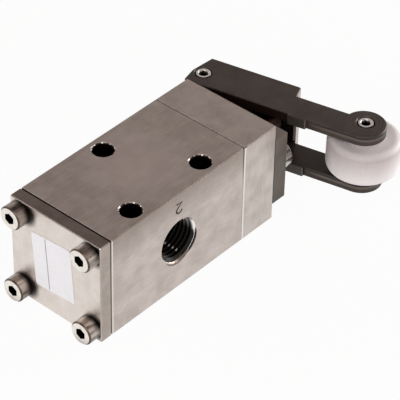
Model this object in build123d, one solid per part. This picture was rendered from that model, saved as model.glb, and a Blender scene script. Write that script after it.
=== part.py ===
"""Roller lever air valve: a 3/2 spool valve in a square steel body, pushed by a hinged roller lever.

Millimetres. +X runs along the spool towards the lever, +Z is up, and port 2 faces -Y.
The origin is the centre of the main body's bottom face. The lever is drawn released.
"""

from build123d import *
import math
import os

# Square body section and the lengths of the blocks along X
SECTION = 32.0
END_PLATE_LENGTH = 4.0
MAIN_BODY_LENGTH = 52.0
HEAD_BLOCK_LENGTH = 13.0
BRACKET_THICKNESS = 5.0
BRACKET_HEIGHT = 22.0
LONG_EDGE_CHAMFER = 0.25
END_PLATE_JOINT_CHAMFER = 0.35
HEAD_JOINT_CHAMFER = 0.2

# Mounting holes through the main body from top to bottom, and from their centres to its sides
MOUNT_HOLE_R = 3.0
MOUNT_HOLE_PITCH = 27.0
MOUNT_HOLE_MARGIN = 4.8
MOUNT_HOLE_CHAMFER = 0.3

# G 1/4 ports
PORT_R = 6.58
PORT_MOUTH_CHAMFER = 0.35
PORT_PITCH = 12.0
PORT_FLOOR = 0.8
PORT_PASSAGE_R = 3.4

# Spool, its seals and the cages that hold the seals apart
SPOOL_R = 4.0
SPOOL_WAIST_R = 2.6
SPOOL_BACK_OVERLAP = 0.5
SPOOL_FRONT_OVERLAP = 5.5
SHUT_OVERLAP = 1.6
OPEN_OVERLAP = 3.2
SEAL_WIDTH = 3.0
SEAL_LIP_WIDTH = 1.2
SEAL_CLEARANCE = 0.03
STACK_R = 7.0
STACK_CLEARANCE = 0.03
CAGE_FLANGE_LENGTH = 1.2
CAGE_WAIST_DEPTH = 1.1
CAGE_BORE_CLEARANCE = 0.6
CAGE_SLOT_WIDTH = 2.4
CAGE_SLOTS = 4
WASHER_THICKNESS = 1.0
CIRCLIP_THICKNESS = 1.0
CIRCLIP_DEPTH = 0.5
CIRCLIP_RING = 1.6
CIRCLIP_GAP_DEG = 60.0
GROOVE_PLAY = 0.02

# Return spring and its seat in the end plate
BACK_BORE_R = 5.5
SEAT_THICKNESS = 1.5
SEAT_CLEARANCE = 0.05
SEAT_STUB_R = 1.6
SEAT_STUB_LENGTH = 4.0
SPRING_WIRE = 0.7
SPRING_MEAN_R = 2.2
SPRING_TURNS = 6
SPRING_BORE_R = 2.7
SPRING_BORE_DEPTH = 10.5
SPRING_END_PLAY = 0.05

# Face seals between the blocks
ORING_R = 9.3
ORING_CORD_R = 0.65
ORING_CORD_SIDES = 8
ORING_GROOVE_PLAY = 0.25

# Plunger, its bush, seal and wiper
PLUNGER_R = 3.5
PLUNGER_DOME_R = 4.0
PLUNGER_COLLAR_R = 5.0
PLUNGER_COLLAR_LENGTH = 2.5
PLUNGER_NECK_LENGTH = 2.0
PLUNGER_PLAY = 0.05
LEVER_TOUCH_GAP = 0.06
BUSH_R = 6.0
BUSH_SHOULDER = 3.0
COLLAR_STOP_GAP = 0.1
PLUNGER_SEAL_R = 5.6
PLUNGER_SEAL_LENGTH = 2.4
WIPER_R = 5.2
WIPER_LENGTH = 2.5
RUBBER_PLAY = 0.03

# Socket head screws: margins from head to side, thread and head radius, head height, key, length
END_HEAD_MARGIN = 0.15
SUNK_HEAD_MARGIN = 0.9
BRACKET_HEAD_MARGIN = 0.25
M4_R = 2.0
M4_HEAD_R = 3.5
M4_HEAD_HEIGHT = 4.0
M4_KEY = 3.0
M4_KEY_DEPTH = 2.2
END_SCREW_LENGTH = 10.0
HEAD_SCREW_LENGTH = 16.0
HEAD_SCREW_SINK = 4.4
M5_R = 2.5
M5_HEAD_R = 4.25
M5_HEAD_HEIGHT = 3.5
M5_KEY = 3.0
M5_KEY_DEPTH = 2.0
BRACKET_SCREW_LENGTH = 12.0
HOLE_PLAY = 0.2
THREAD_PLAY = 0.02
TAP_BEYOND_TIP = 0.7
HEAD_SINK_PLAY = 0.25
HEAD_CHAMFER = 0.4

# Lever, in its own directions: u from the pivot towards the roller, v away from the valve
PIVOT_BEYOND_BRACKET = 6.5
PIVOT_BEYOND_SIDE = 4.0
LEVER_REST_DEG = 13.0
LEVER_HEIGHT = 19.5
ARM_THICKNESS = 3.0
WEB_THICKNESS = 3.4
ARM_INNER_V = -5.2
WEB_OUTER_V = 7.4
WEB_END_U = 27.1
WEB_END_SLANT = 0.8
ARM_OUTER_V = 3.15
LEVER_END_U = -3.4
LEVER_END_SLANT = 2.2
LEVER_CORNER_R = 0.6
ROLLER_PIN_U = 49.6
ROLLER_PIN_V = 1.75
EYE_V = 0.95
PAD_START_U = 29.2
PAD_END_U = 34.9
PAD_HEIGHT = 0.75
PAD_DEPTH = 2.1
PAD_ROUND = 0.4
ARM_EDGE_CHAMFER = 0.25

# Pivot and roller pins: threaded end in the upper arm, plain shank below it
PIN_THREAD_R = 2.5
PIN_SHANK_R = 2.0
PIN_KEY = 2.5
PIN_KEY_DEPTH = 2.2
PIN_SINK = 0.1
PIN_TIP_CHAMFER = 0.3
PIN_TOP_CHAMFER = 0.4
PIN_MOUTH_CHAMFER = 0.25
PIN_PLAY = 0.03
ARM_HOLE_CHAMFER = 0.3

# Bracket ears between the arms and beside the far screw's head
EAR_SIDE_CLEARANCE = 0.15
EAR_HEAD_CLEARANCE = 0.35
EAR_WEB_CLEARANCE = 0.2
EAR_ROOT_Y = 6.5
PIVOT_BUSH_R = 2.75

# Roller
ROLLER_R = 10.5
ROLLER_TREAD_WIDTH = 10.6
ROLLER_HUB_R = 6.0
ROLLER_END_PLAY = 0.5
ROLLER_ROUND = 2.2
ROLLER_BUSH_R = 3.5
ROLLER_BORE_PLAY = 0.06
ROLLER_BUSH_END_PLAY = 0.05

# Stations along X, and the lever's own frame
BODY_BACK = -MAIN_BODY_LENGTH / 2
BODY_FRONT = MAIN_BODY_LENGTH / 2
PLATE_BACK = BODY_BACK - END_PLATE_LENGTH
HEAD_FRONT = BODY_FRONT + HEAD_BLOCK_LENGTH
BRACKET_FRONT = HEAD_FRONT + BRACKET_THICKNESS
MID_Z = SECTION / 2
SIDE_Y = SECTION / 2
MOUNT_HOLE_Y = SIDE_Y - MOUNT_HOLE_MARGIN
END_SCREW_OFFSET = SIDE_Y - M4_HEAD_R - END_HEAD_MARGIN
HEAD_SCREW_OFFSET = SIDE_Y - M4_HEAD_R - SUNK_HEAD_MARGIN
BRACKET_SCREW_Y = SIDE_Y - M5_HEAD_R - BRACKET_HEAD_MARGIN
CAGE_LENGTH = PORT_PITCH - SEAL_WIDTH
STACK_HALF = 1.5 * CAGE_LENGTH + 2 * SEAL_WIDTH
SPOOL_BACK = -STACK_HALF - SPOOL_BACK_OVERLAP
SPOOL_FRONT = STACK_HALF + SPOOL_FRONT_OVERLAP
WAIST_BACK = -PORT_PITCH / 2 + SHUT_OVERLAP
WAIST_FRONT = PORT_PITCH / 2 + OPEN_OVERLAP
CIRCLIP_X = STACK_HALF + WASHER_THICKNESS
COLLAR_BACK = SPOOL_FRONT + PLUNGER_NECK_LENGTH
COLLAR_FRONT = COLLAR_BACK + PLUNGER_COLLAR_LENGTH
BUSH_BACK = COLLAR_FRONT + COLLAR_STOP_GAP
BUSH_FRONT = HEAD_FRONT - BUSH_SHOULDER
PIVOT_X = BRACKET_FRONT + PIVOT_BEYOND_BRACKET
PIVOT_Y = SIDE_Y + PIVOT_BEYOND_SIDE
WEB_INNER_V = WEB_OUTER_V - WEB_THICKNESS
EYE_R = EYE_V - ARM_INNER_V
ARM_GAP_HALF = LEVER_HEIGHT / 2 - ARM_THICKNESS
EAR_OUTER = ARM_GAP_HALF - EAR_SIDE_CLEARANCE
EAR_INNER = M5_HEAD_R + EAR_HEAD_CLEARANCE
EAR_EYE_R = WEB_INNER_V - EAR_WEB_CLEARANCE
EAR_BOTTOMS = (MID_Z - EAR_OUTER, MID_Z + EAR_INNER)
EAR_THICKNESS = EAR_OUTER - EAR_INNER
ROLLER_LENGTH = 2 * (ARM_GAP_HALF - ROLLER_END_PLAY)
LEVER_FRAME = Location((PIVOT_X, PIVOT_Y, MID_Z), (0, 0, LEVER_REST_DEG - 90))

# The dome touches the web's inner face where the face's plane is one dome radius from its centre
REST = math.radians(LEVER_REST_DEG)
DOME_CENTRE_X = PIVOT_X + (WEB_INNER_V - PLUNGER_DOME_R + PIVOT_Y * math.sin(REST)) / math.cos(REST)
PLUNGER_TIP = DOME_CENTRE_X + PLUNGER_DOME_R - LEVER_TOUCH_GAP

CORNER_SIGNS = [(1, 1), (-1, 1), (-1, -1), (1, -1)]


def rod(radius, start, end):
    """Solid cylinder from one point to another."""
    axis = Vector(*end) - Vector(*start)
    low = (Align.CENTER, Align.CENTER, Align.MIN)
    return Plane(origin=start, z_dir=axis) * Cylinder(radius, axis.length, align=low)


def rod_x(radius, start, end, y=0.0, z=MID_Z):
    return rod(radius, (start, y, z), (end, y, z))


def ring_x(outer, inner, start, end):
    return rod_x(outer, start, end) - rod_x(inner, start, end)


def spun_x(points):
    """Body of revolution about the spool axis, from (x, radius) points."""
    outline = Polyline(*[(x, 0, r) for x, r in points], close=True)
    profile = make_face(outline)
    return Location((0, 0, MID_Z)) * revolve(profile, Axis.X)


def corner_points(offset):
    """The four (y, z) places of a square bolt pattern about the spool axis."""
    return [(y * offset, MID_Z + z * offset) for y, z in CORNER_SIGNS]


def block(start, end):
    """One length of the square section with its four long edges broken."""
    bar = Pos((start + end) / 2, 0, MID_Z) * Box(end - start, SECTION, SECTION)
    return chamfer(bar.edges().filter_by(Axis.X), LONG_EDGE_CHAMFER)


def break_end(bar, front, size):
    """Chamfer all round one end face of a block."""
    face = bar.faces().sort_by(Axis.X)[-1 if front else 0]
    return chamfer(face.outer_wire().edges(), size)


def cap_screw(thread_r, length, head_r, head_height, key, key_depth):
    """Socket head cap screw with the underside of its head at the origin, pointing along -Z."""
    head = Pos(0, 0, head_height / 2) * Cylinder(head_r, head_height)
    head = chamfer(head.edges().sort_by(Axis.Z)[-1], HEAD_CHAMFER)
    shank = Pos(0, 0, -length / 2) * Cylinder(thread_r, length)
    hexagon = RegularPolygon(key / 2, 6, major_radius=False)
    socket = Pos(0, 0, head_height - key_depth) * extrude(hexagon, key_depth)
    return head + shank - socket


def screw_group(screw, head_x, places, turn):
    """Copies of one screw with their heads at head_x, pointing along X."""
    return Compound([Location((head_x, y, z), (0, turn, 0)) * screw for y, z in places])


def m4_screw(length):
    return cap_screw(M4_R, length, M4_HEAD_R, M4_HEAD_HEIGHT, M4_KEY, M4_KEY_DEPTH)


def port_cut(x, side):
    """Threaded port of the main body: plain bore, mouth chamfer and the passage to the cage."""
    outer = side * SIDE_Y
    floor = side * (STACK_R + PORT_FLOOR)
    bore = rod(PORT_R, (x, outer, MID_Z), (x, floor, MID_Z))
    passage = rod(PORT_PASSAGE_R, (x, outer, MID_Z), (x, 0, MID_Z))
    mouth = Cone(PORT_R, PORT_R + PORT_MOUTH_CHAMFER, PORT_MOUTH_CHAMFER)
    half = PORT_MOUTH_CHAMFER / 2
    mouth = Plane(origin=(x, outer - side * half, MID_Z), z_dir=(0, side, 0)) * mouth
    return bore + passage + mouth


def mount_hole_places():
    """Two holes beside the near side, and one beside the far side between ports 1 and 3."""
    half = MOUNT_HOLE_PITCH / 2
    return [(-half, -MOUNT_HOLE_Y), (half, -MOUNT_HOLE_Y), (0, MOUNT_HOLE_Y)]


def mount_hole_cut(x, y):
    hole = rod(MOUNT_HOLE_R, (x, y, 0), (x, y, SECTION))
    low = Cone(MOUNT_HOLE_R + MOUNT_HOLE_CHAMFER, MOUNT_HOLE_R, MOUNT_HOLE_CHAMFER)
    top = Cone(MOUNT_HOLE_R, MOUNT_HOLE_R + MOUNT_HOLE_CHAMFER, MOUNT_HOLE_CHAMFER)
    half = MOUNT_HOLE_CHAMFER / 2
    return hole + Pos(x, y, half) * low + Pos(x, y, SECTION - half) * top


def oring_groove(face_x, inward):
    """Face groove in an end of the main body; inward is +1 or -1 along X."""
    depth_x = face_x + inward * 2 * ORING_CORD_R
    half_width = ORING_CORD_R + ORING_GROOVE_PLAY
    low, high = min(face_x, depth_x), max(face_x, depth_x)
    return ring_x(ORING_R + half_width, ORING_R - half_width, low, high)


def make_main_body():
    body = block(BODY_BACK, BODY_FRONT)
    body = break_end(body, False, END_PLATE_JOINT_CHAMFER)
    body = break_end(body, True, HEAD_JOINT_CHAMFER)
    body -= rod_x(BACK_BORE_R, BODY_BACK, 0)
    body -= rod_x(STACK_R, -STACK_HALF, BODY_FRONT)
    groove_play = GROOVE_PLAY
    body -= rod_x(
        STACK_R + CIRCLIP_DEPTH + groove_play,
        CIRCLIP_X - groove_play,
        CIRCLIP_X + CIRCLIP_THICKNESS + groove_play,
    )
    body -= oring_groove(BODY_BACK, 1)
    body -= oring_groove(BODY_FRONT, -1)
    body -= port_cut(0, -1)
    body -= port_cut(-PORT_PITCH, 1)
    body -= port_cut(PORT_PITCH, 1)
    for x, y in mount_hole_places():
        body -= mount_hole_cut(x, y)
    end_tip = PLATE_BACK + END_SCREW_LENGTH
    head_tip = HEAD_FRONT - HEAD_SCREW_SINK - HEAD_SCREW_LENGTH
    tap_r = M4_R + THREAD_PLAY
    for y, z in corner_points(END_SCREW_OFFSET):
        body -= rod_x(tap_r, BODY_BACK, end_tip + TAP_BEYOND_TIP, y, z)
    for y, z in corner_points(HEAD_SCREW_OFFSET):
        body -= rod_x(tap_r, head_tip - TAP_BEYOND_TIP, BODY_FRONT, y, z)
    return body


def make_end_plate():
    plate = block(PLATE_BACK, BODY_BACK)
    plate = break_end(plate, True, END_PLATE_JOINT_CHAMFER)
    plate = break_end(plate, False, LONG_EDGE_CHAMFER)
    plate -= rod_x(BACK_BORE_R, BODY_BACK - SEAT_THICKNESS, BODY_BACK)
    for y, z in corner_points(END_SCREW_OFFSET):
        plate -= rod_x(M4_R + HOLE_PLAY, PLATE_BACK, BODY_BACK, y, z)
    return plate


def make_head_block():
    head = block(BODY_FRONT, HEAD_FRONT)
    head = break_end(head, False, HEAD_JOINT_CHAMFER)
    head = break_end(head, True, LONG_EDGE_CHAMFER)
    head -= rod_x(BUSH_R, BODY_FRONT, BUSH_FRONT)
    head -= rod_x(PLUNGER_R + HOLE_PLAY, BUSH_FRONT, HEAD_FRONT)
    head -= rod_x(PLUNGER_SEAL_R, HEAD_FRONT - PLUNGER_SEAL_LENGTH, HEAD_FRONT)
    for y, z in corner_points(HEAD_SCREW_OFFSET):
        head -= rod_x(M4_R + HOLE_PLAY, BODY_FRONT, HEAD_FRONT, y, z)
        head -= rod_x(M4_HEAD_R + HEAD_SINK_PLAY, HEAD_FRONT - HEAD_SCREW_SINK, HEAD_FRONT, y, z)
    tip = BRACKET_FRONT - BRACKET_SCREW_LENGTH
    for y in (-BRACKET_SCREW_Y, BRACKET_SCREW_Y):
        head -= rod_x(M5_R + THREAD_PLAY, tip - TAP_BEYOND_TIP, HEAD_FRONT, y)
    return head


def tangent_point(x, y, radius, side):
    """Where the line from (x, y) touches the circle about the pivot; side picks one of the two."""
    dx, dy = x - PIVOT_X, y - PIVOT_Y
    angle = math.atan2(dy, dx) + side * math.acos(radius / math.hypot(dx, dy))
    return PIVOT_X + radius * math.cos(angle), PIVOT_Y + radius * math.sin(angle)


def ear_profile():
    """Gusset from the bracket's plate to the pivot: two straight flanks tangent to a round eye."""
    root = (BRACKET_FRONT - BRACKET_THICKNESS / 2, EAR_ROOT_Y)
    front = (BRACKET_FRONT, EAR_ROOT_Y)
    back = (HEAD_FRONT + BRACKET_THICKNESS / 4, SIDE_Y)
    inner_touch = tangent_point(*front, EAR_EYE_R, 1)
    outer_touch = tangent_point(*back, EAR_EYE_R, -1)
    centre = (PIVOT_X, PIVOT_Y)
    gusset = make_face(Polyline(root, front, inner_touch, centre, outer_touch, back, close=True))
    return gusset + Pos(PIVOT_X, PIVOT_Y) * Circle(EAR_EYE_R)


def make_lever_bracket():
    middle = (HEAD_FRONT + BRACKET_FRONT) / 2
    bracket = Pos(middle, 0, MID_Z) * Box(BRACKET_THICKNESS, SECTION, BRACKET_HEIGHT)
    for low in EAR_BOTTOMS:
        bracket += Pos(0, 0, low) * extrude(ear_profile(), EAR_THICKNESS)
    bracket -= rod(
        PIVOT_BUSH_R, (PIVOT_X, PIVOT_Y, MID_Z - EAR_OUTER), (PIVOT_X, PIVOT_Y, MID_Z + EAR_OUTER)
    )
    bracket -= rod_x(PLUNGER_R + HOLE_PLAY, HEAD_FRONT, BRACKET_FRONT)
    bracket -= rod_x(WIPER_R, BRACKET_FRONT - WIPER_LENGTH, BRACKET_FRONT)
    for y in (-BRACKET_SCREW_Y, BRACKET_SCREW_Y):
        bracket -= rod_x(M5_R + HOLE_PLAY, HEAD_FRONT, BRACKET_FRONT, y)
    return bracket


def make_pivot_bushes():
    """One plain bush in each ear."""
    bushes = []
    for low in EAR_BOTTOMS:
        start = (PIVOT_X, PIVOT_Y, low)
        end = (PIVOT_X, PIVOT_Y, low + EAR_THICKNESS)
        bushes.append(rod(PIVOT_BUSH_R, start, end) - rod(PIN_SHANK_R + PIN_PLAY, start, end))
    return Compound(bushes)


def make_port_cage(x):
    """Ring with a waist and radial slots that lets air round and through to the spool."""
    half = CAGE_LENGTH / 2
    outer = STACK_R - STACK_CLEARANCE
    cage = ring_x(outer, SPOOL_R + CAGE_BORE_CLEARANCE, x - half, x + half)
    waist = half - CAGE_FLANGE_LENGTH
    cage -= ring_x(outer, outer - CAGE_WAIST_DEPTH, x - waist, x + waist)
    outward = (Align.CENTER, Align.MIN, Align.CENTER)
    for turn in range(CAGE_SLOTS):
        slot = Box(CAGE_SLOT_WIDTH, STACK_R, CAGE_SLOT_WIDTH, align=outward)
        cage -= Location((x, 0, MID_Z), (360 * turn / CAGE_SLOTS, 0, 0)) * slot
    return cage


def make_spool_seal(x):
    """Ring seal with a narrow lip that runs on the spool."""
    half, lip = SEAL_WIDTH / 2, SEAL_LIP_WIDTH / 2
    outer = STACK_R - STACK_CLEARANCE
    inner = SPOOL_R + SEAL_CLEARANCE
    shoulder = inner + half - lip
    points = [
        (x - half, outer),
        (x + half, outer),
        (x + half, shoulder),
        (x + lip, inner),
        (x - lip, inner),
        (x - half, shoulder),
    ]
    return spun_x(points)


def make_stack_circlip():
    """Internal retaining ring with its gap at the bottom."""
    outer = STACK_R + CIRCLIP_DEPTH
    end = CIRCLIP_X + CIRCLIP_THICKNESS
    ring = ring_x(outer, outer - CIRCLIP_RING, CIRCLIP_X, end)
    half = math.radians(CIRCLIP_GAP_DEG / 2)
    reach = 2 * outer
    wedge = make_face(
        Polyline(
            (0, 0),
            (-reach * math.sin(half), -reach * math.cos(half)),
            (reach * math.sin(half), -reach * math.cos(half)),
            close=True,
        )
    )
    gap = Plane(origin=(CIRCLIP_X, 0, MID_Z), x_dir=(0, 1, 0), z_dir=(1, 0, 0)) * extrude(
        wedge, CIRCLIP_THICKNESS
    )
    return ring - gap


def make_spool():
    """Two lands with a waist between them, and a blind bore for the return spring."""
    points = [
        (SPOOL_BACK, 0),
        (SPOOL_BACK, SPOOL_R),
        (WAIST_BACK, SPOOL_R),
        (WAIST_BACK, SPOOL_WAIST_R),
        (WAIST_FRONT, SPOOL_WAIST_R),
        (WAIST_FRONT, SPOOL_R),
        (SPOOL_FRONT, SPOOL_R),
        (SPOOL_FRONT, 0),
    ]
    return spun_x(points) - rod_x(SPRING_BORE_R, SPOOL_BACK, SPOOL_BACK + SPRING_BORE_DEPTH)


def make_spring_seat():
    disc = rod_x(BACK_BORE_R - SEAT_CLEARANCE, BODY_BACK - SEAT_THICKNESS, BODY_BACK)
    stub = rod_x(SEAT_STUB_R, BODY_BACK, BODY_BACK + SEAT_STUB_LENGTH)
    stub = chamfer(stub.edges().sort_by(Axis.X)[-1], SEAT_STUB_R / 4)
    return disc + stub


def make_return_spring():
    """Compression spring of square wire between the seat and the floor of the spool's bore."""
    inset = SPRING_WIRE / 2 + SPRING_END_PLAY
    start = BODY_BACK + inset
    end = SPOOL_BACK + SPRING_BORE_DEPTH - inset
    length = end - start
    coil = Helix(length / SPRING_TURNS, length, SPRING_MEAN_R)
    section = Plane(origin=coil @ 0, x_dir=(1, 0, 0), z_dir=coil % 0)
    spring = sweep(section * Rectangle(SPRING_WIRE, SPRING_WIRE), path=coil, is_frenet=True)
    return Location((start, 0, MID_Z), (0, 90, 0)) * spring


def make_oring(x):
    """Seal ring between two blocks, its round cord simplified to eight sides."""
    cord = Plane.XZ * Pos(x, ORING_R) * RegularPolygon(ORING_CORD_R, ORING_CORD_SIDES)
    return Pos(0, 0, MID_Z) * revolve(cord, Axis.X)


def make_plunger():
    """Push rod with a stop collar, and a domed tip that the lever's web bears on."""
    dome_centre = PLUNGER_TIP - PLUNGER_DOME_R
    half_angle = math.asin(PLUNGER_R / PLUNGER_DOME_R)
    dome_edge = dome_centre + PLUNGER_DOME_R * math.cos(half_angle)
    midway = (
        dome_centre + PLUNGER_DOME_R * math.cos(half_angle / 2),
        0,
        PLUNGER_DOME_R * math.sin(half_angle / 2),
    )
    stem = Polyline(
        (SPOOL_FRONT, 0, 0),
        (SPOOL_FRONT, 0, PLUNGER_R),
        (COLLAR_BACK, 0, PLUNGER_R),
        (COLLAR_BACK, 0, PLUNGER_COLLAR_R),
        (COLLAR_FRONT, 0, PLUNGER_COLLAR_R),
        (COLLAR_FRONT, 0, PLUNGER_R),
        (dome_edge, 0, PLUNGER_R),
    )
    dome = ThreePointArc((dome_edge, 0, PLUNGER_R), midway, (PLUNGER_TIP, 0, 0))
    axis_line = Line((PLUNGER_TIP, 0, 0), (SPOOL_FRONT, 0, 0))
    profile = make_face([*stem.edges(), *dome.edges(), *axis_line.edges()])
    return Location((0, 0, MID_Z)) * revolve(profile, Axis.X)


def make_plunger_bush():
    return ring_x(BUSH_R, PLUNGER_R + PLUNGER_PLAY, BUSH_BACK, BUSH_FRONT)


def make_plunger_seal():
    """Rod seal with a vee between its two lips, facing the air."""
    back = HEAD_FRONT - PLUNGER_SEAL_LENGTH + RUBBER_PLAY
    front = HEAD_FRONT - RUBBER_PLAY
    inner = PLUNGER_R + RUBBER_PLAY
    outer = PLUNGER_SEAL_R - RUBBER_PLAY
    vee = (back + PLUNGER_SEAL_LENGTH / 2, (inner + outer) / 2)
    return spun_x([(back, inner), vee, (back, outer), (front, outer), (front, inner)])


def make_plunger_wiper():
    """Scraper ring whose lip stands a little proud of the bracket."""
    back = BRACKET_FRONT - WIPER_LENGTH + RUBBER_PLAY
    lip = BRACKET_FRONT + WIPER_LENGTH / 4
    inner = PLUNGER_R + RUBBER_PLAY
    outer = WIPER_R - RUBBER_PLAY
    front = BRACKET_FRONT
    middle = (inner + outer) / 2
    return spun_x([(back, inner), (back, outer), (front, outer), (front, middle), (lip, inner)])


def lever_outline():
    """Side view of the lever in u and v, with the roller eye and without the stop pads."""
    edge = Polyline(
        (LEVER_END_U, ARM_INNER_V),
        (ROLLER_PIN_U, ARM_INNER_V),
        (ROLLER_PIN_U, ARM_OUTER_V),
        (WEB_END_U + WEB_END_SLANT, ARM_OUTER_V),
        (WEB_END_U, WEB_OUTER_V),
        (LEVER_END_U + LEVER_END_SLANT, WEB_OUTER_V),
        (LEVER_END_U, 0),
        close=True,
    )
    return make_face(edge) + Pos(ROLLER_PIN_U, EYE_V) * Circle(EYE_R)


def stop_pad():
    """Raised pad on each arm's inner edge that lands on the bracket at full travel."""
    pad = make_face(
        Polyline(
            (PAD_START_U, ARM_INNER_V - PAD_HEIGHT),
            (PAD_END_U, ARM_INNER_V - PAD_HEIGHT),
            (PAD_END_U, ARM_INNER_V + PAD_HEIGHT),
            (PAD_START_U, ARM_INNER_V + PAD_HEIGHT),
            close=True,
        )
    )
    corners = pad.vertices().group_by(Axis.Y)[0]
    return fillet(corners, PAD_ROUND)


def make_lever():
    """Channel whose web joins the two arms beyond the plunger, with an eye for the roller pin."""
    half = LEVER_HEIGHT / 2
    lever = Pos(0, 0, -half) * extrude(lever_outline(), LEVER_HEIGHT)
    upright = lever.edges().filter_by(Axis.Z)
    lever = fillet(upright.group_by(Axis.X)[0] + upright.group_by(Axis.Y)[-1], LEVER_CORNER_R)
    outer_faces = lever.faces().sort_by(Axis.Z)
    for face in (outer_faces[0], outer_faces[-1]):
        lever = chamfer(face.outer_wire().edges(), ARM_EDGE_CHAMFER)
    for low in (-half, half - PAD_DEPTH):
        lever += Pos(0, 0, low) * extrude(stop_pad(), PAD_DEPTH)
    reach = ROLLER_PIN_U + EYE_R - LEVER_END_U
    behind_web = Pos(LEVER_END_U, WEB_INNER_V) * Rectangle(
        reach, 4 * EYE_R, align=(Align.MIN, Align.MAX)
    )
    past_web = Pos(WEB_END_U + WEB_END_SLANT, 0) * Rectangle(
        reach, 4 * EYE_R, align=(Align.MIN, Align.CENTER)
    )
    lever -= Pos(0, 0, -ARM_GAP_HALF) * extrude(behind_web + past_web, 2 * ARM_GAP_HALF)
    for u, v in ((0, 0), (ROLLER_PIN_U, ROLLER_PIN_V)):
        lever -= rod(PIN_THREAD_R + THREAD_PLAY, (u, v, 0), (u, v, half))
        lever -= rod(PIN_SHANK_R + THREAD_PLAY, (u, v, -half), (u, v, 0))
        mouth = Cone(PIN_THREAD_R, PIN_THREAD_R + ARM_HOLE_CHAMFER, ARM_HOLE_CHAMFER)
        lever -= Pos(u, v, half - ARM_HOLE_CHAMFER / 2) * mouth
    return LEVER_FRAME * lever


def make_pin(u, v):
    """Headless socket pin that screws into the upper arm and turns nothing but its own thread."""
    half = LEVER_HEIGHT / 2
    top = half - PIN_SINK
    thread = rod(PIN_THREAD_R, (u, v, ARM_GAP_HALF), (u, v, top))
    thread = chamfer(thread.edges().sort_by(Axis.Z)[-1], PIN_TOP_CHAMFER)
    shank = rod(PIN_SHANK_R, (u, v, -top), (u, v, ARM_GAP_HALF))
    shank = chamfer(shank.edges().sort_by(Axis.Z)[0], PIN_TIP_CHAMFER)
    hexagon = RegularPolygon(PIN_KEY / 2, 6, major_radius=False)
    socket = Pos(u, v, top - PIN_KEY_DEPTH) * extrude(hexagon, PIN_KEY_DEPTH)
    mouth = Cone(PIN_KEY / 2, PIN_KEY / 2 + PIN_MOUTH_CHAMFER, PIN_MOUTH_CHAMFER)
    socket += Pos(u, v, top - PIN_MOUTH_CHAMFER / 2) * mouth
    return LEVER_FRAME * (thread + shank - socket)


def make_roller_bush():
    half = ARM_GAP_HALF - ROLLER_BUSH_END_PLAY
    ends = ((ROLLER_PIN_U, ROLLER_PIN_V, -half), (ROLLER_PIN_U, ROLLER_PIN_V, half))
    return LEVER_FRAME * (rod(ROLLER_BUSH_R, *ends) - rod(PIN_SHANK_R + PIN_PLAY, *ends))


def make_roller():
    """Rounded tread on a wider hub that keeps it clear of the arms."""
    tread = Cylinder(ROLLER_R, ROLLER_TREAD_WIDTH)
    roller = fillet(tread.edges(), ROLLER_ROUND) + Cylinder(ROLLER_HUB_R, ROLLER_LENGTH)
    roller -= Cylinder(ROLLER_BUSH_R + ROLLER_BORE_PLAY, ROLLER_LENGTH)
    return LEVER_FRAME * (Pos(ROLLER_PIN_U, ROLLER_PIN_V, 0) * roller)


def make_parts():
    bracket_places = [(-BRACKET_SCREW_Y, MID_Z), (BRACKET_SCREW_Y, MID_Z)]
    m5_screw = cap_screw(
        M5_R, BRACKET_SCREW_LENGTH, M5_HEAD_R, M5_HEAD_HEIGHT, M5_KEY, M5_KEY_DEPTH
    )
    end_corners = corner_points(END_SCREW_OFFSET)
    head_corners = corner_points(HEAD_SCREW_OFFSET)
    end_screw = m4_screw(END_SCREW_LENGTH)
    head_screw = m4_screw(HEAD_SCREW_LENGTH)
    sunk_head_x = HEAD_FRONT - HEAD_SCREW_SINK
    parts = {
        "main_body": make_main_body(),
        "end_plate": make_end_plate(),
        "head_block": make_head_block(),
        "lever_bracket": make_lever_bracket(),
        "pivot_bushes": make_pivot_bushes(),
        "end_plate_screws": screw_group(end_screw, PLATE_BACK, end_corners, -90),
        "head_block_screws": screw_group(head_screw, sunk_head_x, head_corners, 90),
        "bracket_screws": screw_group(m5_screw, BRACKET_FRONT, bracket_places, 90),
        "end_plate_oring": make_oring(BODY_BACK + ORING_CORD_R),
        "head_block_oring": make_oring(BODY_FRONT - ORING_CORD_R),
        "stack_washer": ring_x(
            STACK_R - STACK_CLEARANCE, SPOOL_R + CAGE_BORE_CLEARANCE, STACK_HALF, CIRCLIP_X
        ),
        "stack_circlip": make_stack_circlip(),
        "spring_seat": make_spring_seat(),
        "return_spring": make_return_spring(),
        "spool": make_spool(),
        "plunger": make_plunger(),
        "plunger_bush": make_plunger_bush(),
        "plunger_seal": make_plunger_seal(),
        "plunger_wiper": make_plunger_wiper(),
        "lever": make_lever(),
        "pivot_pin": make_pin(0, 0),
        "roller_pin": make_pin(ROLLER_PIN_U, ROLLER_PIN_V),
        "roller_bush": make_roller_bush(),
        "roller": make_roller(),
    }
    for name, x in (("supply", -PORT_PITCH), ("outlet", 0), ("exhaust", PORT_PITCH)):
        parts[f"{name}_port_cage"] = make_port_cage(x)
    for number in range(4):
        parts[f"spool_seal_{number + 1}"] = make_spool_seal((number - 1.5) * PORT_PITCH)
    return parts


os.makedirs("parts", exist_ok=True)
for name, part in make_parts().items():
    export_step(part, f"parts/{name}.step")
    print(name, round(part.volume, 2))
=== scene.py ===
# %% [markdown]
# A roller lever air valve, dressed for the camera.
# The valve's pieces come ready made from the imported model, at their real size and in metres.
# This lesson gives them their finishes and adds what a solid modeller leaves out: port threads,
# numerals and a label. It ends with lights and a camera that repeat the photograph's view.

# %% Load the valve
import math

import bpy
from mathutils import Matrix, Vector


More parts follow.
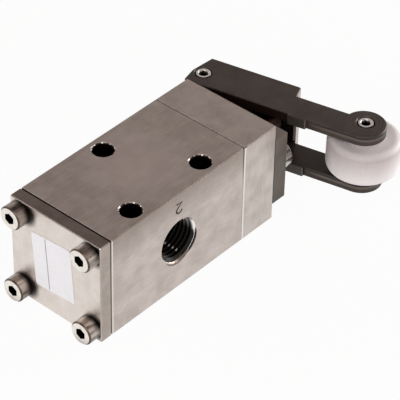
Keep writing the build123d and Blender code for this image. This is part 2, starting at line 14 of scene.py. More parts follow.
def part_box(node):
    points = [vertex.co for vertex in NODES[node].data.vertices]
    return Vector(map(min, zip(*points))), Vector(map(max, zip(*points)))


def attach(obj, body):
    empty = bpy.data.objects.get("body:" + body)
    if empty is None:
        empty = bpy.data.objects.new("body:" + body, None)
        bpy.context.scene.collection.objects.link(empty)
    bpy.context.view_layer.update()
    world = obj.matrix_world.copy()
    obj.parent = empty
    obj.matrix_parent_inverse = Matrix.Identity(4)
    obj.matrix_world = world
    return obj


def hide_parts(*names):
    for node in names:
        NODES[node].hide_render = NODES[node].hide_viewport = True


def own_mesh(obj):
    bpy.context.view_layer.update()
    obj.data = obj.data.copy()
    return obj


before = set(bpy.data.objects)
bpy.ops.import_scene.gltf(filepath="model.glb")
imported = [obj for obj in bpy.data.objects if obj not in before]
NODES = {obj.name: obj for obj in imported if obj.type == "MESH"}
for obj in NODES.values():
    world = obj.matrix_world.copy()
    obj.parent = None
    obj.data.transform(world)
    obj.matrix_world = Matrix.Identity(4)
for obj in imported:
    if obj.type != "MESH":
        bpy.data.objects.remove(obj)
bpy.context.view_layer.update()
MM = 0.001
print("pieces from the model:", len(NODES))

# %% [markdown]
# The camera comes first, because every later choice is judged through it.
# The photograph was taken from far away with a long lens, above the end plate and a little to the
# side of the numbered port. A camera is easiest to describe by the point that it looks at, the
# angles round that point and the distance, so the matrix is built from those.

# %% Camera
CAMERA_AZIMUTH = math.radians(-49.521)
CAMERA_ELEVATION = math.radians(39.337)
CAMERA_ROLL = math.radians(1.321)
CAMERA_DISTANCE = 580.198 * MM
SIDE_STEP = 37.303 * MM
UP_STEP = 17.857 * MM
AIM = Vector((-30.0, 0.0, 16.0)) * MM
SENSOR_WIDTH = 36.0
FOCAL_LENGTH = 201.94
NEAREST_SEEN = 0.05


def camera_matrix():
    """Right, up and back directions of the camera, and its place, as one matrix."""
    sin_a, cos_a = math.sin(CAMERA_AZIMUTH), math.cos(CAMERA_AZIMUTH)
    sin_e, cos_e = math.sin(CAMERA_ELEVATION), math.cos(CAMERA_ELEVATION)
    back = Vector((sin_a * cos_e, -cos_a * cos_e, sin_e))
    level_right = Vector((cos_a, sin_a, 0.0))
    level_up = back.cross(level_right)
    right = level_right * math.cos(CAMERA_ROLL) + level_up * math.sin(CAMERA_ROLL)
    up = back.cross(right)
    matrix = Matrix((right, up, back)).transposed().to_4x4()
    matrix.translation = AIM + right * SIDE_STEP + up * UP_STEP + back * CAMERA_DISTANCE
    return matrix


camera_data = bpy.data.cameras.new("valve_camera")
camera_data.sensor_width = SENSOR_WIDTH
camera_data.lens = FOCAL_LENGTH
camera_data.clip_start = NEAREST_SEEN
camera = bpy.data.objects.new("valve_camera", camera_data)
camera.matrix_world = camera_matrix()
bpy.context.scene.collection.objects.link(camera)
bpy.context.scene.camera = camera
print("camera at", [round(v, 3) for v in camera.location])

# %% [markdown]
# Colours are read off real finishes as sRGB hex values, as a paint program shows them.
# Blender computes light with linear values, so one function turns the first into the second.
# One more adds a node with its settings and links. An input may be a number, a hex colour, an
# output, or a whole node, which then gives its first live output, so materials read like sums.
# A range node's inputs are, in order: the value, the range that it comes from (1 and 2), and the
# range that it is turned into (3 and 4), which is 0 to 1 where nothing is said.

# %% Colour and node helpers
MATH = "ShaderNodeMath"
RANGE = "ShaderNodeMapRange"
MIX = "ShaderNodeMix"


def linear(hex_colour):
    """Linear RGBA of an sRGB hex value such as "#b0a8a0"."""
    values = [int(hex_colour[i : i + 2], 16) / 255 for i in (1, 3, 5)]
    return [v / 12.92 if v <= 0.04045 else ((v + 0.055) / 1.055) ** 2.4 for v in values] + [1.0]


def add_node(tree, kind, inputs=None, **settings):
    """A new node with its settings and links."""
    node = tree.nodes.new(kind)
    for name, value in settings.items():
        setattr(node, name, value)
    for name, value in (inputs or {}).items():
        if isinstance(value, bpy.types.Node):
            value = next(output for output in value.outputs if output.enabled)
        if isinstance(value, bpy.types.NodeSocket):
            tree.links.new(value, node.inputs[name])
        else:
            node.inputs[name].default_value = linear(value) if isinstance(value, str) else value
    return node


def new_material(name):
    """An empty material and its node tree."""
    material = bpy.data.materials.new(name)
    material.use_nodes = True
    material.node_tree.nodes.clear()
    return material, material.node_tree


print("a mid grey turned linear:", [round(v, 3) for v in linear("#808080")])

# %% [markdown]
# Most finishes here are two near tones with a grain between them, and on top of those a few layers:
# painted shade, painted light, joints and tool marks, each over a share of the surface. The grain
# is noise whose size is given in real millimetres. A mix node has sockets for numbers, vectors and
# colours, and the two colours are its inputs 6 and 7.

# %% Grain and layers
COLOUR_UNDER, COLOUR_OVER = 6, 7


def grain_of(tree, lengths_mm, detail=3.0):
    """Noise whose grains have these lengths along X, Y and Z, in millimetres on the object."""
    place = add_node(tree, "ShaderNodeTexCoord").outputs["Object"]
    scale = [1.0 / (length * MM) for length in lengths_mm]
    stretched = add_node(tree, "ShaderNodeMapping", {"Vector": place, "Scale": scale})
    noise = {"Vector": stretched, "Scale": 1.0, "Detail": detail, "Roughness": 0.55}
    return add_node(tree, "ShaderNodeTexNoise", noise)


def layered(tree, tone, *layers):
    """A tone under layers of paint; each layer is the share that it covers, and its colour."""
    for share, colour in layers:
        colours = {0: share, COLOUR_UNDER: tone, COLOUR_OVER: colour}
        tone = add_node(tree, MIX, colours, data_type="RGBA")
    return tone


def two_toned(tree, grain, dark, light, low=0.38, high=0.62):
    """Two tones of one finish, from dark where the grain is low to light where it is high."""
    return layered(tree, dark, (add_node(tree, RANGE, {0: grain, 1: low, 2: high}), light))


print("colour sockets of a mix node:", COLOUR_UNDER, "and", COLOUR_OVER)

# %% [markdown]
# Where a layer lies is worked out from the object's own places and directions, which stay put when
# the camera moves. A share is 1 where a layer shows and 0 where it doesn't. A direction's share
# changes between two slopes, so that rounded edges get a soft border.

# %% Places and directions
BODY_LOW, BODY_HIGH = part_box("main_body")
MID_Z = (BODY_LOW.z + BODY_HIGH.z) / 2


def parts_of(tree, output):
    """X, Y and Z of a place on the object ("Object") or of the way it faces ("Normal")."""
    vector = add_node(tree, "ShaderNodeTexCoord").outputs[output]
    return add_node(tree, "ShaderNodeSeparateXYZ", {"Vector": vector}).outputs


def off_centre(tree, value, centre):
    """How far a value lies from a centre, to either side."""
    shifted = add_node(tree, MATH, {0: value, 1: centre}, operation="SUBTRACT")
    return add_node(tree, MATH, {0: shifted}, operation="ABSOLUTE")


def facing(tree, axis):
    """How squarely the surface faces along an axis, either way, from 0 to 1."""
    return off_centre(tree, parts_of(tree, "Normal")[axis], 0.0)


def upright(tree):
    """1 on faces that stand upright, and 0 on those that look up or down."""
    return add_node(tree, RANGE, {0: facing(tree, "Z"), 1: 0.3, 2: 0.5, 3: 1.0, 4: 0.0})


def distance_from(tree, centre, first, second):
    """Distance of two coordinates from a centre in their plane."""
    place = add_node(tree, "ShaderNodeCombineXYZ", {0: first, 1: second})
    ends = {0: place, 1: (*centre, 0.0)}
    return add_node(tree, "ShaderNodeVectorMath", ends, operation="DISTANCE")


def all_of(tree, share, *others):
    """The share where all of these hold, which is their product."""
    for other in others:
        share = add_node(tree, MATH, {0: share, 1: other}, operation="MULTIPLY")
    return share


print("middle of the body at", round(MID_Z / MM, 1), "mm")

# %% [markdown]
# Bores and screw sockets look nearly black in the photograph, because little light gets in, so they
# get painted shade. A shader can find such places by itself: ambient occlusion measures how much of
# the surroundings is hidden within a given distance.

# %% Recesses
RECESS_SHADE = "#14110e"
CLOSED_AT = 0.3
RECESS_SAMPLES = 8


def with_recess_shade(tree, tone, reach=12.0, open_at=0.55, colour=RECESS_SHADE, own_form=False):
    """Paint shade over a tone where less than open_at of the surroundings within reach (mm) is
    free.

    own_form counts only what the piece itself hides, so that the table doesn't darken its foot."""
    kind = "ShaderNodeAmbientOcclusion"
    settings = {"samples": RECESS_SAMPLES, "only_local": own_form}
    free = add_node(tree, kind, {"Distance": reach * MM}, **settings).outputs["AO"]
    closed = add_node(tree, RANGE, {0: free, 1: CLOSED_AT, 2: open_at, 3: 1.0, 4: 0.0})
    # painted shade where the surroundings are closed in
    return layered(tree, tone, (closed, colour))


print("recess colour", RECESS_SHADE)

# %% [markdown]
# Between the blocks there are fine joints. On top they read as thin dark lines. On the sides a
# painted highlight beside each line stands for a broken edge that catches the light, and at the
# upper corner the head joint widens into a dark notch. Their place along the bar is known, so they
# are found by their distance from it.

# %% Joints
PLATE_JOINT = -26.0
HEAD_JOINT = 26.0
JOINT_BLUR = 0.08
NOTCH_FROM, NOTCH_TO = 18 * MM, 31 * MM


def across_joint(tree, centre, half):
    """1 within half a width (mm) of a place along the bar, and 0 beyond it."""
    away = off_centre(tree, parts_of(tree, "Object")["X"], centre * MM)
    edge = {1: (half - JOINT_BLUR) * MM, 2: (half + JOINT_BLUR) * MM, 3: 1.0, 4: 0.0}
    return add_node(tree, RANGE, {0: away, **edge})


def with_joints(tree, tone):
    """Each line is a place along the bar, half a width, a tone, and the faces where it shows."""
    up, on_side = facing(tree, "Z"), upright(tree)
    on_top = add_node(tree, RANGE, {0: up, 1: 0.3, 2: 0.5})
    slanting = all_of(tree, up, facing(tree, "Y"))
    on_edge = add_node(tree, RANGE, {0: slanting, 1: 0.2, 2: 0.3})
    height = parts_of(tree, "Object")["Z"]
    high = add_node(tree, RANGE, {0: height, 1: NOTCH_FROM, 2: NOTCH_TO})
    lines = [
        (PLATE_JOINT, 0.28, "#221c18", on_top),
        (PLATE_JOINT - 0.05, 0.22, "#3a302a", on_side),
        # painted highlight beside the plate joint
        (PLATE_JOINT + 0.45, 0.18, "#e2dcd6", on_side),
        (HEAD_JOINT - 0.1, 0.18, "#544944", on_top),
        (HEAD_JOINT - 0.15, 0.14, "#6a5e57", on_side),
        # painted highlight beside the head joint
        (HEAD_JOINT + 0.25, 0.22, "#e9e3dd", on_side),
        (HEAD_JOINT - 0.28, 0.3, "#2a211c", all_of(tree, on_side, high)),
        (HEAD_JOINT, 0.55, "#1c1512", on_edge),
    ]
    for centre, half, colour, face in lines:
        share = all_of(tree, across_joint(tree, centre, half), face)
        tone = layered(tree, tone, (share, colour))
    return tone


print("joints at", PLATE_JOINT, "and", HEAD_JOINT, "mm")

# %% [markdown]
# The bar's long edges are broken with a file, and painted shade keeps them no brighter than the
# faces beside them. Painted shade darkens the sides a little towards the top, and a painted sheen
# lightens the middle of the top.

# %% Edges and top
EDGE_SLOPE = 0.7
EDGE_SHARE = 0.9
EDGE_SHADE_TONE = "#877a72"
SHADE_FROM, SHADE_TO = 22 * MM, 31 * MM
SHADE_SHARE = 0.7
SHADE_TONE = "#8c7f76"
SHEEN_R, SHEEN_END_R = 4 * MM, 17 * MM
SHEEN_SHARE = 0.5
SHEEN_TONE = "#dccfca"


def with_shaded_edges(tree, tone):
    """Painted shade on the broken long edges, above and below."""
    slope = off_centre(tree, facing(tree, "Z"), EDGE_SLOPE)
    sloping = add_node(tree, RANGE, {0: slope, 1: 0.12, 2: 0.18, 3: EDGE_SHARE, 4: 0.0})
    lengthwise = add_node(tree, RANGE, {0: facing(tree, "X"), 1: 0.1, 2: 0.3, 3: 1.0, 4: 0.0})
    # painted shade on the edge chamfers
    return layered(tree, tone, (all_of(tree, sloping, lengthwise), EDGE_SHADE_TONE))


def with_shaded_top(tree, tone):
    """Painted shade on the upper sides and edges, and a painted sheen on the middle of the top."""
    place = parts_of(tree, "Object")
    high = add_node(tree, RANGE, {0: place["Z"], 1: SHADE_FROM, 2: SHADE_TO, 4: SHADE_SHARE})
    tone = layered(tree, tone, (all_of(tree, high, upright(tree)), SHADE_TONE))
    away = distance_from(tree, (0.0, 0.0), place["X"], place["Y"])
    # a painted sheen on the middle of the top, standing for a reflection
    sheen = {0: away, 1: SHEEN_R, 2: SHEEN_END_R, 3: SHEEN_SHARE, 4: 0.0}
    sheen = add_node(tree, RANGE, sheen)
    on_top = add_node(tree, RANGE, {0: facing(tree, "Z"), 1: 0.6, 2: 0.8})
    return layered(tree, with_shaded_edges(tree, tone), (all_of(tree, sheen, on_top), SHEEN_TONE))


print("edge tone", EDGE_SHADE_TONE, "and rubbed tone", SHEEN_TONE)

# %% [markdown]
# Three plain holes go through the body: two near the numbered port's side, and one in the middle of
# the far side. Their chamfers get painted shade, and a wave round each hole paints an odd
# number of small glints on them, as the facets of a chattering countersink would catch light.

# %% Rims of the mounting holes
HOLE_PITCH = 27.0 * MM
HOLE_Y = 11.2 * MM
HOLE_RIM_R = 3.22 * MM
HOLE_RIM_DEPTH = 0.25 * MM
RIM_GLINTS = 9
RIM_GLINT_TURN = 0.4
RIM_GLINT_SHARE = 0.9
# painted glints and painted shade on the hole chamfers
RIM_GLINT_TONE = "#ffffff"
RIM_SHADE_TONE = "#4d433d"


def with_hole_rims(tree, tone):
    """Chamfers in painted shade with painted glints, on top and below."""
    place = parts_of(tree, "Object")
    far = add_node(tree, MATH, {0: place["Y"], 1: 0.0}, operation="GREATER_THAN")
    hole_x = add_node(tree, RANGE, {0: far, 3: HOLE_PITCH / 2, 4: 0.0})
    from_middle = off_centre(tree, place["X"], 0.0)
    across = add_node(tree, MATH, {0: from_middle, 1: hole_x}, operation="SUBTRACT")
    from_middle = off_centre(tree, place["Y"], 0.0)
    along = add_node(tree, MATH, {0: from_middle, 1: HOLE_Y}, operation="SUBTRACT")
    radius = distance_from(tree, (0.0, 0.0), across, along)
    near = add_node(tree, MATH, {0: radius, 1: HOLE_RIM_R}, operation="LESS_THAN")

    above = off_centre(tree, place["Z"], MID_Z)
    chamfer_from = BODY_HIGH.z - MID_Z - HOLE_RIM_DEPTH
    at_face = add_node(tree, MATH, {0: above, 1: chamfer_from}, operation="GREATER_THAN")
    angle = add_node(tree, MATH, {0: along, 1: across}, operation="ARCTAN2")
    turns = {0: angle, 1: RIM_GLINTS, 2: RIM_GLINT_TURN}
    turns = add_node(tree, MATH, turns, operation="MULTIPLY_ADD")
    wave = add_node(tree, MATH, {0: turns}, operation="SINE")
    # painted glints, evenly spaced round the rim
    rim_glints = add_node(tree, RANGE, {0: wave, 1: 0.7, 2: 0.95, 4: RIM_GLINT_SHARE})
    rim = layered(tree, RIM_SHADE_TONE, (all_of(tree, rim_glints, at_face), RIM_GLINT_TONE))
    return layered(tree, tone, (near, rim))


print("facets round each hole:", RIM_GLINTS)

# %% [markdown]
# Behind the mouth of a port little light reaches the thread, so only its crests show. A place
# inside a port is known by its distance from the port's axis, across and up, and by its depth
# behind the side. The near side has one port in its middle, and the far side has two.

# %% Place in a port
PORT_PITCH = 12.0 * MM
PORT_R = 6.58 * MM


def port_place(tree):
    """Across and up from the nearest port's axis, the distance from it, and the depth."""
    place = parts_of(tree, "Object")
    far = add_node(tree, MATH, {0: place["Y"], 1: 0.0}, operation="GREATER_THAN")
    beside = off_centre(tree, place["X"], 0.0)
    from_far_port = add_node(tree, MATH, {0: beside, 1: PORT_PITCH}, operation="SUBTRACT")
    across = add_node(tree, MIX, {"Factor": far, "A": place["X"], "B": from_far_port})
    rise = add_node(tree, MATH, {0: place["Z"], 1: MID_Z}, operation="SUBTRACT")
    from_middle = off_centre(tree, place["Y"], 0.0)
    return {
        "across": across,
        "rise": rise,
        "radius": distance_from(tree, (0.0, 0.0), across, rise),
        "depth": add_node(tree, MATH, {0: BODY_HIGH.y, 1: from_middle}, operation="SUBTRACT"),
    }


print("far ports", round(2 * PORT_PITCH / MM, 1), "mm apart")

# %% [markdown]
# The mouth's countersink gets a painted highlight, duller at the bottom as painted shade. Two
# painted shades lie on the face outside it, each a part of a circle that reaches past the mouth.

# %% Mouth of a port
MOUTH_R = 6.72 * MM
MOUTH_FROM = 0.01 * MM
# painted highlight on the countersink, and painted shade at its bottom
MOUTH_HIGHLIGHT_TONE = "#f6f2ee"
SHADE_BELOW, LIT_ABOVE = -6.0 * MM, -4.6 * MM
SHADED_MOUTH_SHARE = 0.7
SHADED_MOUTH_TONE = "#7d736a"
DARK_FROM = 0.55 * MM
MOUTH_SHADES_FROM_R = PORT_R + 0.08 * MM
MOUTH_SHADE_SHIFT = 2.3 * MM
# two painted shades on the face outside the mouth
MOUTH_SHADES = (
    (math.radians(-36), 5.15 * MM, "#2c2420"),
    (math.radians(-97), 5.4 * MM, "#85786f"),
)


def with_mouth_highlight(tree, tone, port):
    """Painted highlight on the countersink, from just behind the face, with painted shade below."""
    past_face = add_node(tree, MATH, {0: port["depth"], 1: MOUTH_FROM}, operation="GREATER_THAN")
    in_rim = add_node(tree, MATH, {0: port["radius"], 1: MOUTH_R}, operation="LESS_THAN")
    low = {0: port["rise"], 1: SHADE_BELOW, 2: LIT_ABOVE, 3: SHADED_MOUTH_SHARE, 4: 0.0}
    mouth = layered(tree, MOUTH_HIGHLIGHT_TONE, (add_node(tree, RANGE, low), SHADED_MOUTH_TONE))
    return layered(tree, tone, (all_of(tree, past_face, in_rim), mouth))


def with_mouth_shades(tree, tone, port):
    """The part of each painted shade's circle that lies on the face, outside the bore."""
    bore = {0: port["radius"], 1: MOUTH_SHADES_FROM_R}
    past_rim = add_node(tree, MATH, bore, operation="GREATER_THAN")
    on_face = add_node(tree, MATH, {0: port["depth"], 1: DARK_FROM}, operation="LESS_THAN")
    for angle, shade_r, colour in MOUTH_SHADES:
        centre = (MOUTH_SHADE_SHIFT * math.cos(angle), MOUTH_SHADE_SHIFT * math.sin(angle))
        away = distance_from(tree, centre, port["across"], port["rise"])
        inside = add_node(tree, MATH, {0: away, 1: shade_r}, operation="LESS_THAN")
        tone = layered(tree, tone, (all_of(tree, inside, past_rim, on_face), colour))
    return tone


# the painted shades at each mouth
print("worn hollows at each mouth:", len(MOUTH_SHADES))

# %% [markdown]
# Painted shade darkens the thread, less so above, where light falls on its crests, and soonest at
# the lower right.

# %% Thread of a port
DARK_TO = 0.8 * MM
DARK_SOONER = 0.35 * MM
SOONER_FROM, SOONER_TO = 4.9 * MM, 6.3 * MM
DARK_SHARE, SHARE_BELOW, SHARE_ABOVE = 0.985, 0.965, 0.62
LOWEST, LOW = -6.2 * MM, -4.6 * MM
MIDDLE, HIGH = -0.5 * MM, 3.5 * MM


def with_thread_shade(tree, tone, port):
    """Painted shade that sets in behind the mouth."""
    bore = {0: port["radius"], 1: PORT_R + 0.05 * MM}
    inside = add_node(tree, MATH, bore, operation="LESS_THAN")
    place = add_node(tree, "ShaderNodeCombineXYZ", {0: port["across"], 1: port["rise"]})
    angle = MOUTH_SHADES[0][0]
    towards = {0: place, 1: (math.cos(angle), math.sin(angle), 0.0)}
    low_right = add_node(tree, "ShaderNodeVectorMath", towards, operation="DOT_PRODUCT")
    sooner = {0: low_right, 1: SOONER_FROM, 2: SOONER_TO, 4: DARK_SOONER}
    sooner = add_node(tree, RANGE, sooner)
    deep = add_node(tree, MATH, {0: port["depth"], 1: sooner}, operation="ADD")
    deep = add_node(tree, RANGE, {0: deep, 1: DARK_FROM, 2: DARK_TO})
    below = {0: port["rise"], 1: LOWEST, 2: LOW, 3: SHARE_BELOW, 4: DARK_SHARE}
    above = {0: port["rise"], 1: MIDDLE, 2: HIGH, 3: DARK_SHARE, 4: SHARE_ABOVE}
    dark = {0: add_node(tree, RANGE, below), 1: add_node(tree, RANGE, above)}
    dark = add_node(tree, MATH, dark, operation="MINIMUM")
    # painted shade deep in the thread
    return layered(tree, tone, (all_of(tree, dark, inside, deep), RECESS_SHADE))


print("thread dark from", round(DARK_FROM / MM, 2), "mm")

# %% [markdown]
# A few crests near the bottom of the bore get a painted glint each.

# %% Glints on the thread
GLINT_ANGLE = math.radians(-73)
GLINT_R = 6.1 * MM
GLINT_FROM = 2.0 * MM
GLINT_BELOW = -5.0 * MM
GLINT_HALF, GLINT_END = 0.15 * MM, 0.45 * MM
# painted glints on the thread's crests
GLINT_TONE = "#d5d0ca"


def with_glints(tree, tone, port):
    """Short painted glints on the crests, one above the other along the bore."""
    away = off_centre(tree, port["across"], GLINT_R * math.cos(GLINT_ANGLE))
    glint = add_node(tree, RANGE, {0: away, 1: GLINT_HALF, 2: GLINT_END, 3: 1.0, 4: 0.0})
    low = add_node(tree, MATH, {0: port["rise"], 1: GLINT_BELOW}, operation="LESS_THAN")
    crest = add_node(tree, MATH, {0: port["radius"], 1: GLINT_R}, operation="LESS_THAN")
    deep = add_node(tree, MATH, {0: port["depth"], 1: GLINT_FROM}, operation="GREATER_THAN")
    return layered(tree, tone, (all_of(tree, glint, low, crest, deep), GLINT_TONE))


print("glints from", round(GLINT_FROM / MM, 1), "mm behind the side")

# %% [markdown]
# Painted shadows lie beside the end plate's four screw heads, mostly up and to one side. So their
# dark rings are drawn a little off the screws' axes, and only on the plate's front.

# %% Painted shadows round the end screws
END_SCREW_AT = 12.35 * MM
SHADOW_SIDEWAYS = 1.7 * MM
SHADOW_UP = 0.5 * MM
SHADOW_R, SHADOW_END_R = 2.9 * MM, 4.5 * MM
SHADOW_SHARE = 0.92
SCREW_SHADOW_TONE = "#2e2621"


def with_screw_shadows(tree, tone):
    """A ring of painted shadow at each corner of the plate."""
    place = parts_of(tree, "Object")
    beside = off_centre(tree, place["Y"], -SHADOW_SIDEWAYS)
    above = off_centre(tree, place["Z"], MID_Z + SHADOW_UP)
    away = distance_from(tree, (END_SCREW_AT, END_SCREW_AT), beside, above)
    shadowed = add_node(tree, RANGE, {0: away, 1: SHADOW_R, 2: SHADOW_END_R, 3: SHADOW_SHARE, 4: 0.0})
    out = parts_of(tree, "Normal")["X"]
    on_front = add_node(tree, RANGE, {0: out, 1: -0.9, 2: -0.7, 3: 1.0, 4: 0.0})
    # painted shadow on the plate's front
    return layered(tree, tone, (all_of(tree, shadowed, on_front), SCREW_SHADOW_TONE))


# places of the painted shadows round the screws
print("oil round the screws at", round(END_SCREW_AT / MM, 2), "mm")

# %% [markdown]
# The body is stainless steel, sawn from square bar and ground on all sides. Grinding gives a grey
# satin: fine scratches along the bar blur what the steel mirrors across them. The head block is
# ground the other way, and the end plate's scratches run every way.
# Two noises draw it: a very long thin one for the scratches, and a broad soft one for the faint
# patches where the wheel cut a little deeper. Real scratches lie about 0.05 mm apart, too fine to
# show at this size, so they are drawn 0.35 mm wide.

# %% Ground stainless steel
SCRATCH_LENGTH = 5.0
SCRATCH_WIDTH = 0.35
PATCH_SIZE = 5.0
PATCH_SHARE = 0.55
PATCH_DETAIL = 4.0
SCRATCH_STRENGTH = 0.35
NOISE_LOW, NOISE_HIGH = 0.3, 0.7


def ground_steel(name, tones, along, marks, roughness=(0.34, 0.46), depth=0.012, faces=()):
    """Ground steel, scratched along one axis, between a dark and a light tone.

    marks draws what belongs to this piece alone, such as its holes. Each of faces gives an axis
    and the two tones of the faces that look along it. The scratches are depth mm deep."""
    material, tree = new_material(name)
    lengths = [SCRATCH_LENGTH if axis == along else SCRATCH_WIDTH for axis in "XYZ"]
    scratches = grain_of(tree, lengths)
    patches = grain_of(tree, [PATCH_SIZE] * 3, PATCH_DETAIL)
    grain = add_node(tree, MIX, {"Factor": PATCH_SHARE, "A": scratches, "B": patches})
    tone = two_toned(tree, grain, *tones)
    # faces that look along an axis get tones of their own, darker ones as painted shade
    for axis, *face_tones in faces:
        squarely = add_node(tree, RANGE, {0: facing(tree, axis), 1: 0.5, 2: 0.8})
        tone = layered(tree, tone, (squarely, two_toned(tree, grain, *face_tones)))
    tone = with_joints(tree, marks(tree, tone))
    relief = {"Height": scratches, "Strength": SCRATCH_STRENGTH, "Distance": depth * MM}
    gloss = {0: scratches, 1: NOISE_LOW, 2: NOISE_HIGH, 3: roughness[0], 4: roughness[1]}
    surface = {
        "Base Color": with_recess_shade(tree, tone, own_form=True),
        "Metallic": 1.0,
        "Roughness": add_node(tree, RANGE, gloss),
        "Normal": add_node(tree, "ShaderNodeBump", relief),
    }
    shader = add_node(tree, "ShaderNodeBsdfPrincipled", surface)
    add_node(tree, "ShaderNodeOutputMaterial", {"Surface": shader})
    return material


print("scratches", SCRATCH_WIDTH, "mm wide and", SCRATCH_LENGTH, "mm long")

# %% [markdown]
# The body takes its marks one after the other: its top, the mounting holes and the ports.
# The plate faces the lamps and looks the lightest, while its narrow sides get darker tones as
# painted shade.

# %% The three ground pieces


def with_holes_and_ports(tree, tone):
    """All marks of the body."""
    tone = with_hole_rims(tree, with_shaded_top(tree, tone))
    port = port_place(tree)
    for mark in (with_mouth_highlight, with_mouth_shades, with_thread_shade, with_glints):
        tone = mark(tree, tone, port)
    return tone


body_steel = ground_steel(
    "ground_stainless_body", ("#b5aaa3", "#ccc2bb"), along="X", marks=with_holes_and_ports
)
head_steel = ground_steel(
    "ground_stainless_head", ("#b8ada7", "#cec5be"), along="Z", marks=with_shaded_edges
)
plate_steel = ground_steel(
    "ground_stainless_plate",
    ("#d4cac2", "#e5dcd5"),
    along=None,
    marks=with_screw_shadows,
    roughness=(0.34, 0.4),
    depth=0.003,
    # darker tones of the narrow sides, as painted shade
    faces=[("Y", "#a0958c", "#b3a89f"), ("Z", "#7d726b", "#91867f")],
)
print("made", body_steel.name, head_steel.name, plate_steel.name)

# %% [markdown]
# Marks and painted light on the lever are easiest to place in the lever's own frame, which starts
# at the pivot pin and runs along the arms. At rest the lever stands 13 degrees off the square, and
# is
# a channel on its side: one arm above, one below, and a web between them that presses the plunger.

# %% The lever's own frame
LEVER_LEAN = 13
LEVER_TURN = math.radians(LEVER_LEAN - 90)
LEVER_HALF = 9.75 * MM
ARM_THICKNESS = 3.0 * MM
ARM_INNER = -5.2 * MM
ARM_TOPS = (MID_Z - LEVER_HALF + ARM_THICKNESS, MID_Z + LEVER_HALF)
PADS_FROM = 29.2 * MM
PADS_TO = 34.9 * MM


def centre_of(name):
    """Middle of a piece's box."""
    low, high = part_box(name)
    return (low + high) / 2


PIVOT = centre_of("pivot_pin")
ROLLER_PIN = Matrix.Rotation(-LEVER_TURN, 3, "Z") @ (centre_of("roller_pin") - PIVOT)


def lever_parts(tree):
    """X along the lever from the pivot, and Y away from the body."""
    place = add_node(tree, "ShaderNodeTexCoord").outputs["Object"]
    turned = {"Vector": place, "Location": PIVOT, "Rotation": (0.0, 0.0, LEVER_TURN)}
    own = add_node(tree, "ShaderNodeMapping", turned, vector_type="TEXTURE")
    return add_node(tree, "ShaderNodeSeparateXYZ", {"Vector": own}).outputs


print("roller pin", round(ROLLER_PIN.x / MM, 1), "mm from the pivot")

# %% [markdown]
# Three kinds of marks are on the lever. The first are rings on the eyes, which the cutter left
# round the roller's pin. A sine of the distance from the pin gives them. Real tool marks are finer
# than a pixel here, so they stand a millimetre apart.

# %% Rings on the eyes
MARK_PITCH = 1.0 * MM
MARK_SHARE = 0.35
MARK_TONE = "#6b5f56"
EYE_R, EYE_END_R = 5.2 * MM, 5.6 * MM


def with_eye_marks(tree, tone, place):
    """Rings on the eyes, on top and below."""
    radius = distance_from(tree, ROLLER_PIN.xy, place["X"], place["Y"])
    turns = {0: radius, 1: 2 * math.pi / MARK_PITCH}
    turns = add_node(tree, MATH, turns, operation="MULTIPLY")
    wave = add_node(tree, MATH, {0: turns}, operation="SINE")
    marks = add_node(tree, RANGE, {0: wave, 4: MARK_SHARE})
    near = add_node(tree, RANGE, {0: radius, 1: EYE_R, 2: EYE_END_R, 3: 1.0, 4: 0.0})
    on_top = add_node(tree, RANGE, {0: facing(tree, "Z"), 1: 0.9, 2: 0.97})
    return layered(tree, tone, (all_of(tree, marks, near, on_top), MARK_TONE))


print("rings", MARK_PITCH / MM, "mm apart")

# %% [markdown]
# Below the upper edge of each arm runs a dark line, with a lighter band under it. Both are
# given by where they start and end below the edge.

# %% Bands on the arms
EDGE_BANDS = ((0.95 * MM, 1.75 * MM, "#5d554c"), (0.45 * MM, 0.85 * MM, "#120d0a"))
BAND_BLUR = 0.12 * MM
BAND_FADE = 5.0 * MM


def with_edge_bands(tree, tone, place, on_side):
    """Bands that lie some way below the top of each arm, and begin past the pads."""
    past_pads = add_node(tree, RANGE, {0: place["X"], 1: PADS_TO, 2: PADS_TO + BAND_FADE})
    height = parts_of(tree, "Object")["Z"]
    for top in ARM_TOPS:
        for start, end, colour in EDGE_BANDS:
            away = off_centre(tree, height, top - (start + end) / 2)
            half = (end - start) / 2
            limits = {1: half - BAND_BLUR, 2: half + BAND_BLUR, 3: 1.0, 4: 0.0}
            share = add_node(tree, RANGE, {0: away, **limits})
            tone = layered(tree, tone, (all_of(tree, share, on_side, past_pads), colour))
    return tone


print("bands on each arm:", len(EDGE_BANDS))

# %% [markdown]
# Last come patches on the lever's sides: painted shade where little light comes between the lever
# and the body, a greyer tone on the pads with a painted highlight at their ends, and painted light
# on the strip past the web's end.
# Each patch has a tone, and limits along the lever (X) or away from the body (Y).

# %% Patches on the lever's sides
BEFORE_PADS = ("X", "LESS_THAN", PADS_FROM - 0.2 * MM)
ON_PADS = ("Y", "LESS_THAN", ARM_INNER - 0.5 * MM)
AT_PAD_ENDS = ("X", "GREATER_THAN", PADS_TO - 0.25 * MM)
TOWARDS_BODY = ("Y", "LESS_THAN", ARM_INNER + 0.3 * MM)
PAST_WEB = ("X", "GREATER_THAN", 26.9 * MM)
WEB_SIDE = ("Y", "GREATER_THAN", 3.9 * MM)
SIDE_PATCHES = [
    # painted shade between the lever and the body
    ("#24150f", TOWARDS_BODY, BEFORE_PADS),
    ("#423d37", ON_PADS),
    # painted highlight at the pads' ends
    ("#625c54", ON_PADS, AT_PAD_ENDS),
    # painted light on the web's end face
    ("#b5aaa2", PAST_WEB, WEB_SIDE, BEFORE_PADS),
]


